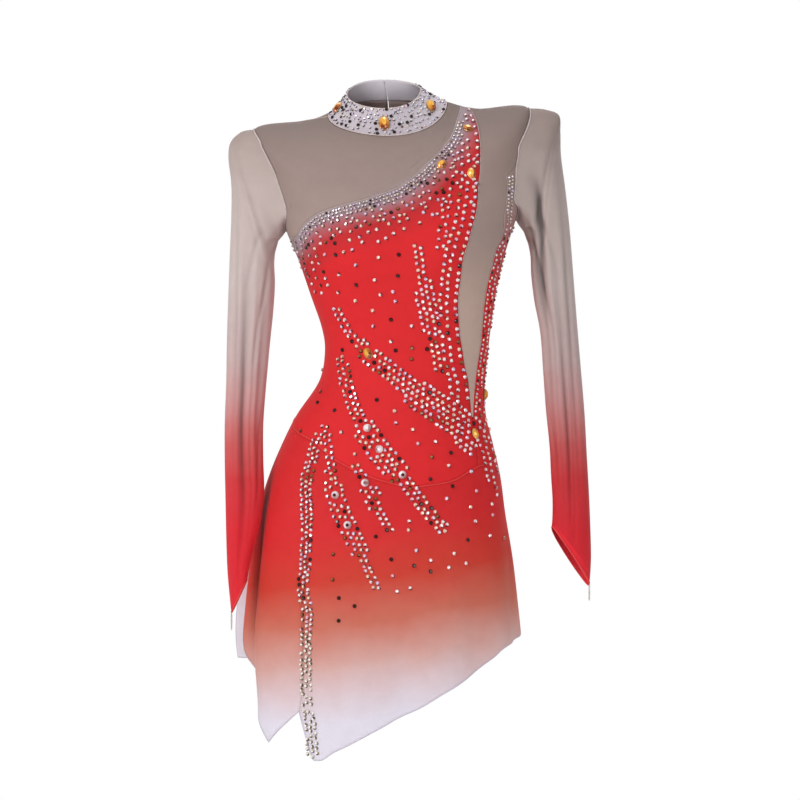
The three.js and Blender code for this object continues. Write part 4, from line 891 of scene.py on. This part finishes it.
def cut_stones(name, at, normal, size, lean, tints, sides=8, levels=((0.86, 0.0), (1.0, 0.28), (0.62, 1.0)),
               contrast=1.05, loose=0.0, table=1.0, glints=(0.7, 1.3, 1.25)):
    """Faceted stones in mm, all alike: rings of so many corners, each ring a share of the width and
    height, turned half a side from the last, with a flat table. Each stone sits up to a loose share
    off square. Each of the facets takes the stone's tint times a painted lightness that stands in for the
    reflections and shade of cut glass: it falls towards the lower right by a cosine of its place round
    the stone, with a seeded spread, and the flat table has its own share of it. The glints are the powers
    that warm the darker facets, a painted colour of the cloth seen through the glass."""
    at, normal, size, lean, tints = (np.asarray(part, float) for part in (at, normal, size, lean, tints))
    normal = unit(normal + (chance.random(normal.shape) - 0.5) * loose)
    up = unit(np.array([0, 0, 1.0]) - normal * normal[:, 2:])
    aside = np.cross(up, normal)
    c, s = np.cos(lean)[:, None], np.sin(lean)[:, None]
    aside, up = aside * c + up * s, up * c - aside * s
    turned = (np.arange(sides) + 0.5 * np.arange(len(levels))[:, None]) * 2 * np.pi / sides
    wide, high = np.array(levels).T[..., None]
    corners = np.stack([np.cos(turned) * wide, np.sin(turned) * wide, high + 0 * turned], -1).reshape(-1, 3)
    local = corners * [0.5, 0.5, 1] * size[:, None]
    points = (at[:, None] + aside[:, None] * local[..., :1] + up[:, None] * local[..., 1:2]
              + normal[:, None] * local[..., 2:])
    ring = np.arange(sides)
    after = (ring + 1) % sides
    halves = (np.stack([ring, after, sides + ring], -1), np.stack([after, sides + after, sides + ring], -1))
    bands = [half + k * sides for k in range(len(levels) - 1) for half in halves]
    fan = np.stack([0 * ring[2:], ring[1:-1], ring[2:]], -1)
    triangles = np.concatenate([*bands, fan + (len(levels) - 1) * sides, fan[:, [0, 2, 1]]])
    faces = (triangles + np.arange(len(at))[:, None, None] * sides * len(levels)).reshape(-1, 3)
    piece = new_piece(name, points.reshape(-1, 3), [faces], smooth=False)
    middle = corners[triangles].mean(1)
    spread_out = np.hypot(middle[:, 0], middle[:, 1]) > 0.3
    towards = np.arctan2(middle[:, 1], middle[:, 0]) + lean[:, None]
    facing = np.cos(towards - chance.normal(-0.8, 0.9, (len(at), 1)))
    shade = np.where(spread_out, 0.45 + 0.45 * facing, 0.0) + 0.35 * chance.random(facing.shape)
    light = np.clip(1.12 - contrast * shade, 0.04, 1.2)
    light[:, -2 * (sides - 2):] *= np.reshape(table, (-1, 1))
    colour = np.concatenate([tints[:, None] * light[..., None] ** glints, np.ones(light.shape + (1,))], -1)
    corner_colours = np.repeat(np.clip(colour, 0, 1.5).reshape(-1, 4), 3, 0)
    layer = piece.data.color_attributes.new("facet", "FLOAT_COLOR", "CORNER")
    layer.data.foreach_set("color", corner_colours.ravel().astype(np.float32))
    return piece


def on_surface(surface, seen, lift, last=LAST, sign=1):
    """Points and normals on a surface at seen positions, lifted in mm."""
    pairs = seen_on(surface, seen, last)
    normal = outward(surface, *pairs.T) * sign
    return surface(*pairs.T) + normal * np.asarray(lift, float).reshape(-1, 1), normal


def stone_material(name, metal, rough):
    """Cut glass over foil: the facets' painted colours, which hold painted reflections and shade, glossy,
    with faint dust in the gloss, and coated the more the lighter they are."""
    made, shader, place, uv = new_material(name, metallic=metal, coat_roughness=0.03, specular_ior_level=0.5)
    facet = place.attribute("facet", 0)
    feed(shader, base_color=facet.shaded(place.noise(3) * 0.12 + 0.94),
         roughness=place.noise(1.5) * 0.08 + rough, coat_weight=facet.part(0) * 1.4 + 0.1)
    return made


amber_glass = stone_material("amber_glass", 0.2, 0.08)
claw_metal, shader, place, uv = new_material("claw_metal", metallic=1.0)
feed(shader, base_color=place.noise(2).stops((0.3, (170, 140, 96)), (0.7, (206, 178, 130))),
     roughness=place.noise(1) * 0.15 + 0.2)
for word, table, surface, last, sign in (("collar", AMBER_ON_COLLAR, collar, 1, -1),
                                         ("body", AMBER_ON_BODY, dress, LAST, 1)):
    seen, size, lean, sink = table[:, :2], table[:, 2:5] * [1.12, 1.12, 1], np.radians(table[:, 5]), table[:, 6]
    at, normal = on_surface(surface, seen, 0.75 - sink, last, sign)
    tints = np.array([linear((255, 188, 50))[:3]]) * (0.85 + 0.25 * chance.random((len(at), 1)))
    stones = cut_stones(f"amber_{word}_stones", at, normal, size, lean, tints, 12,
                        ((0.90, 0.0), (1.0, 0.30), (0.80, 0.62), (0.42, 1.0)), 0.9)
    give(stones, amber_glass, "amber_stone", *(f"amber_{word}_{n + 1}" for n in range(len(at))))
    claws = cut_stones(f"amber_{word}_claws", at - normal * 0.4, normal, size * [1.06, 1.04, 0.30], lean,
                       np.ones((len(at), 3)), 16, ((1.0, 0.0), (1.0, 0.7), (0.9, 1.0)), 0.1)
    give(claws, claw_metal, "amber_stone")


# Clear stones: six large round brilliants with foiled backs, glued to the skirt front and the basque.
CLEAR_SEEN = [(-31, -422), (-15, -451), (17, -486), (-34, -497), (-75, -514), (-58, -555)]
CLEAR_DIAMETER, CLEAR_HEIGHT = 11, 4.2
clear_glass = stone_material("clear_glass", 0.2, 0.05)
at, normal = on_surface(dress, CLEAR_SEEN, 0.55)
round_size = np.tile([CLEAR_DIAMETER, CLEAR_DIAMETER, CLEAR_HEIGHT], (len(at), 1))
# Four of the stones get a darkened table: a painted dark reflection in their middle.
clear_stones = cut_stones("clear_round_stones", at, normal, round_size, np.zeros(len(at)),
                          np.tile([0.98, 0.97, 0.98], (len(at), 1)), 12,
                          ((0.84, 0.0), (1.0, 0.30), (0.80, 0.66), (0.42, 1.0)), 0.75,
                          table=(1.0, 1.0, 0.02, 0.2, 0.02, 0.02))
give(clear_stones, clear_glass, "clear_stone", *(f"clear_stone_{n + 1}" for n in range(6)))


# Small stones: flat-backed crystals of 3 to 6 mm, clear, smoky and pearl, heat-fixed in streaks that
# follow the diagonal edge, the slash and the drape of the front, and crusted all round the collar.
# Streaks in picture points: the line, its width at the start, middle and end, its spacing, and the
# stones' diameter in mm
STREAKS = [
    ([(336, 308), (350, 333), (368, 354), (395, 375), (425, 400), (455, 420), (482, 440)],
     (6, 22, 40), 6.1, 6.0),
    ([(342, 350), (345, 375), (352, 400), (362, 425), (378, 450), (400, 475), (415, 495), (430, 515),
      (446, 531)], (6, 24, 9), 6.1, 5.8),
    ([(329, 432), (328, 445), (333, 470), (335, 495), (347, 525), (358, 548), (377, 589)],
     (9, 19, 8), 6.1, 5.6),
    ([(355, 465), (365, 481), (375, 503), (390, 531)], (8, 16, 7), 6.0, 5.6),
    ([(329, 425), (318, 440), (312, 460), (307, 480), (307, 520), (306, 560), (303, 590), (307, 610),
      (306, 640), (307, 700), (310, 720), (313, 758)], (8, 10, 9), 5.0, 5.6, 0.35),
    ([(418, 245), (424, 290), (430, 320), (434, 345), (440, 375)], (8, 18, 10), 6.3, 5.8),
    ([(474, 417), (481, 430), (489, 460), (497, 495)], (12, 14, 6), 6.0, 5.4),
    ([(296, 240), (299, 256), (303, 276), (309, 302)], (9, 8, 4), 5.0, 4.4),
    ([(306, 243), (311, 258), (317, 276), (324, 296)], (12, 16, 12), 8.0, 5.2),
]
TINTS = np.array([linear(c)[:3] for c in ((255, 250, 248), (240, 222, 246), (250, 230, 206), (228, 226, 248),
                                         (246, 206, 222), (40, 12, 10), (150, 98, 50))])
TINT_SHARES = {"scatter": [0.34, 0.06, 0.18, 0.03, 0.06, 0.18, 0.15],
               "streaks": [0.42, 0.10, 0.26, 0.03, 0.10, 0.05, 0.04],
               "collar": [0.32, 0.20, 0.10, 0.15, 0.06, 0.15, 0.02]}
DARK_TINT = 5
ROW_STEP = 0.87  # from row to row of a honeycomb, as a share of its spacing


def square_to(line):
    """Unit vectors a quarter turn on from the course of a line in the picture."""
    slope = unit(np.gradient(line, axis=0))
    return np.stack([-slope[:, 1], slope[:, 0]], -1)


def streak(points, widths, spacing, size, loose=0.28):
    """Seen positions and diameters of a streak's stones: as many rows as fit its width, every other row
    set on by half a spacing as in a honeycomb, each stone moved by a loose share of it."""
    line = rows_at(np.array(points, float), np.linspace(0, len(points) - 1, 400))
    run = lengths(line)
    rows = int(max(widths) / (spacing * ROW_STEP)) + 1
    along, row = np.meshgrid(np.arange(0, run[-1], spacing), np.arange(rows) - (rows - 1) / 2, indexing="ij")
    along = along + (np.arange(rows) % 2) * spacing / 2 + (chance.random(along.shape) - 0.5) * spacing * loose
    row = row + (chance.random(row.shape) - 0.5) * min(loose, 0.3 * max(widths) / spacing)
    offset = row * spacing * ROW_STEP
    keep = np.abs(offset) <= np.interp(along, [0, run[-1] / 2, run[-1]], widths) / 2 + spacing * 0.15
    at, side = (np.stack([np.interp(along, run, part[:, k]) for k in (0, 1)], -1)
                for part in (line, square_to(line)))
    seen = (at + side * offset[..., None])[keep]
    return np.concatenate([seen, np.full((len(seen), 1), size)], -1)


def beside(edge, distance):
    """An edge's line in picture points, moved square to itself; a positive distance is down or left."""
    line = SEEN_ORIGIN + np.array(edge) / [POINT, -POINT]
    return line + square_to(line) * distance


edge_rows = [streak(beside(YOKE_EDGE, distance), (1, 1, 1), pitch, size)
             for distance, pitch, size in ((2.7, 3.5, 3.6), (6.0, 3.8, 3.8), (9.6, 4.8, 4.4))]
edge_field = [streak(beside(YOKE_EDGE, 20), (18, 16, 16), 7.2, 5.2, 0.6),
              streak(beside(YOKE_EDGE[:-2], 38), (16, 20, 10), 11.5, 5.6, 0.8),
              streak([(471, 112), (463, 124), (459, 150), (455, 180), (452, 215), (446, 250)],
                     (8, 24, 22), 7.2, 5.4, 0.5)]
slash_rows = [streak(beside(SLASH_INNER[:-1], 3.0), (1, 1, 1), 7.0, 6.0, 0.2),
              streak(beside(SLASH_INNER[:-1], 12.0), (10, 14, 14), 7.2, 6.0, 0.25),
              streak(beside(SLASH_OUTER[:3], -4.4), (6, 6, 6), 3.5, 3.6),
              streak(beside(SLASH_OUTER[2:], -5.8), (8, 9, 8), 4.5, 4.4, 0.35)]
# Loose scatter between the streaks, on a staggered grid of picture points. It is a little thinner on
# the hips, ends at a slanted line above the pale part of the skirt and leaves the side panel bare.
SCATTER_ACROSS, SCATTER_DOWN, SCATTER_MOVE, SCATTER_SIZE, SCATTER_CLEAR = 19.0, 17.0, 11, 5.6, 10.0
HIPS_DOWN, HIPS_SHARE, FADE_DOWN, FADE_SLOPE = 470, 0.93, 797, 0.5
SIDE_PANEL_ACROSS, SIDE_PANEL_DOWN = 316, 440
grid = np.stack(np.meshgrid(np.arange(262, 512, SCATTER_ACROSS), np.arange(228, 640, SCATTER_DOWN),
                            indexing="ij"), -1)
grid[1::2, :, 1] += SCATTER_DOWN / 2
field = (grid + (chance.random(grid.shape) - 0.5) * SCATTER_MOVE).reshape(-1, 2)
across, down = field.T
thinned = chance.random(len(field)) < np.where(down > HIPS_DOWN, HIPS_SHARE, 1.0)
above_fade = down + FADE_SLOPE * across < FADE_DOWN
off_side_panel = (across > SIDE_PANEL_ACROSS) | (down < SIDE_PANEL_DOWN)
field = field[thinned & above_fade & off_side_panel]
field = np.concatenate([field, np.full((len(field), 1), SCATTER_SIZE)], -1)
dense = np.concatenate([*(streak(*row) for row in STREAKS), *slash_rows, *edge_rows, *edge_field])


def squared_gaps(first, second):
    """Square of the distance from each place to each other place."""
    return ((first[:, None] - second) ** 2).sum(-1)


# A stone is left out where it would touch an earlier one, a large stone, an edge or bare mesh, or
# where the dress turns away from the camera.
TOUCHING, EDGE_ROOM, HEM_ROOM, LARGE_ROOM = 0.93, 1.5, 3, 9.0
MISS, WIDEST_TURN, STONE_LIFT, PALE_Z = 1.5, 97, 0.15, -690
lonely = squared_gaps(field[:, :2], dense[:, :2]).min(1) > SCATTER_CLEAR**2
stones = np.concatenate([dense, field[lonely]])
scattered = np.arange(len(stones)) >= len(dense)
reach = (stones[:, None, 2] + stones[:, 2]) / 2 / POINT * TOUCHING
close = squared_gaps(stones[:, :2], stones[:, :2]) < reach**2
stones, scattered = (part[~np.tril(close, -1).any(1)] for part in (stones, scattered))
seen = (stones[:, :2] - SEEN_ORIGIN) * [POINT, -POINT]
across, up = seen.T
hem_up = np.interp(across, *np.array(MAIN_HEM, float).T, left=-900)
yoke_up = np.interp(across, *np.array(YOKE_EDGE, float).T)
inner_x, outer_x = (np.interp(-up, *np.array(edge, float).T[::-1] * [[-1], [1]])
                    for edge in (SLASH_INNER, SLASH_OUTER))
in_slash = (up > SLASH_INNER[-1][1]) & (across > inner_x - EDGE_ROOM) & (across < outer_x + EDGE_ROOM)
off_yoke = (up < yoke_up - EDGE_ROOM) | (across > YOKE_EDGE[-1][0]) | (across < YOKE_EDGE[0][0])
large = np.concatenate([np.array(CLEAR_SEEN, float), AMBER_ON_BODY[:, :2]])
pairs = seen_on(dress, seen)
missed = np.linalg.norm(as_seen(dress(*pairs.T)) - seen, axis=1)
keep = ((squared_gaps(seen, large) > LARGE_ROOM**2).all(1) & ~in_slash & off_yoke & (missed < MISS)
        & (up > hem_up + HEM_ROOM) & (np.abs(pairs[:, 0]) < WIDEST_TURN))
pairs, width, scattered = pairs[keep], stones[keep, 2], scattered[keep]
normal = outward(dress, *pairs.T)
at = dress(*pairs.T) + normal * STONE_LIFT
pick = np.where(scattered, *(chance.choice(len(TINTS), len(at), p=TINT_SHARES[where])
                             for where in ("scatter", "streaks")))
pale = at[:, 2] < PALE_Z
pick[pale & ~scattered] = 0
small_glass = stone_material("small_crystal", 0.12, 0.1)
# The glints tint the darker facets with a painted colour of the cloth under the stones: cream below the pale
# line, near neutral for the smallest stones, warm red elsewhere.
small_stones = cut_stones("small_stones", at, normal, np.stack([width, width, width * 0.4], -1),
                          chance.uniform(0, 6.28, len(at)), TINTS[pick], loose=0.3,
                          glints=np.select([pale[:, None, None], width[:, None, None] < 4.5],
                                           [np.array([0.85, 1.0, 1.3]), np.array([0.9, 1.1, 1.05])],
                                           np.array([0.7, 1.3, 1.25])))
give(small_stones, small_glass, "clear_stone")

# Round the collar: columns of stones, every other row set on, all a little loose and some left out
COLUMNS, ROWS = 64, 6
turn, level = np.meshgrid(np.arange(COLUMNS) * 360 / COLUMNS - 177, np.linspace(0.12, 0.92, ROWS),
                          indexing="ij")
turn = turn + (np.arange(ROWS) % 2) * 2.8 + (chance.random(turn.shape) - 0.5) * 3.6
level = level + (chance.random(level.shape) - 0.5) * 0.10
kept = chance.random(turn.shape) < 0.92
turn, level = turn[kept], level[kept]
at, normal = collar(turn, level), collar_out(turn, level)
amber_at, _ = on_surface(collar, AMBER_ON_COLLAR[:, :2], 0, 1, -1)
clear_of = (np.linalg.norm(at[:, None] - amber_at, axis=-1) > [7.5, 9.0, 9.0]).all(1)
at, normal = at[clear_of] + normal[clear_of] * STONE_LIFT, normal[clear_of]
pick = chance.choice(len(TINTS), len(at), p=TINT_SHARES["collar"])
width = np.where(pick == DARK_TINT, 5.0, chance.choice([3.0, 3.6, 4.2], len(at)))
collar_stones = cut_stones("collar_stones", at, normal, np.stack([width, width, width * 0.45], -1),
                           chance.uniform(0, 6.28, len(at)), TINTS[pick], loose=0.3,
                           glints=(0.95, 1.05, 1.0))
give(collar_stones, small_glass, "clear_stone")


# Finger loops: two loops of clear elastic cord under the cuff points, kept from the solid model.
elastic, shader, place, uv = new_material("clear_elastic", transmission_weight=0.6, ior=1.45, coat_weight=0.3)
feed(shader, base_color=place.noise(4).stops((0.3, (226, 226, 226)), (0.7, (246, 244, 240))),
     roughness=place.noise(1) * 0.2 + 0.2)
for node in ("finger_loop_right", "finger_loop_left"):
    bpy.data.objects[node].material_slots[0].material = elastic


# Stage: a plain pale floor far below the hem, white surroundings, a wide soft lamp in front of the
# wearer's right shoulder and three weaker ones from below, above and behind that open the shadows.
floor_material, shader, place, uv = new_material("pale_floor", roughness=0.9, specular_ior_level=0.1)
feed(shader, base_color=place.noise(400).stops((0.3, (250, 250, 250)), (0.7, (255, 255, 255))))
FLOOR_RADIUS, FLOOR_Z = 2600, -1420
around = np.linspace(0, 2 * np.pi, 97)[:-1]
rim = np.stack([np.cos(around) * FLOOR_RADIUS, np.sin(around) * FLOOR_RADIUS, 0 * around + FLOOR_Z], -1)
floor = new_piece("floor", rim, [np.arange(len(rim))[None]], smooth=False)
floor.data.materials.append(floor_material)
world = bpy.data.worlds.new("white_studio")
world.use_nodes = True
air = Wire(world.node_tree, world.node_tree.nodes["Background"].inputs["Strength"])
direct = air.node("ShaderNodeLightPath", {}, 0)
world.node_tree.links.new((direct * 0.48 + 0.52).socket, air.socket)
world.node_tree.nodes["Background"].inputs["Color"].default_value = (1, 1, 1, 1)
bpy.context.scene.world = world
for name, where, width, power in (  # place and width in metres, power in watts
        ("front_lamp", (-2.5, -2.7, 1.3), 1.5, 74), ("low_lamp", (1.4, -3.2, -0.7), 1.6, 19),
        ("top_lamp", (0.2, 0.4, 2.4), 1.6, 18), ("back_lamp", (0.6, 3.0, 0.8), 1.6, 26)):
    lamp = bpy.data.lights.new(name, "AREA")
    lamp.energy, lamp.size = power, width
    holder = bpy.data.objects.new(name, lamp)
    holder.location = where
    aim = np.array([0, 0, -0.35]) - where
    holder.rotation_euler = (np.arctan2(np.hypot(*aim[:2]), -aim[2]), 0, np.arctan2(aim[0], -aim[1]) + np.pi)
    bpy.context.scene.collection.objects.link(holder)
bpy.context.scene.view_settings.view_transform = "Standard"
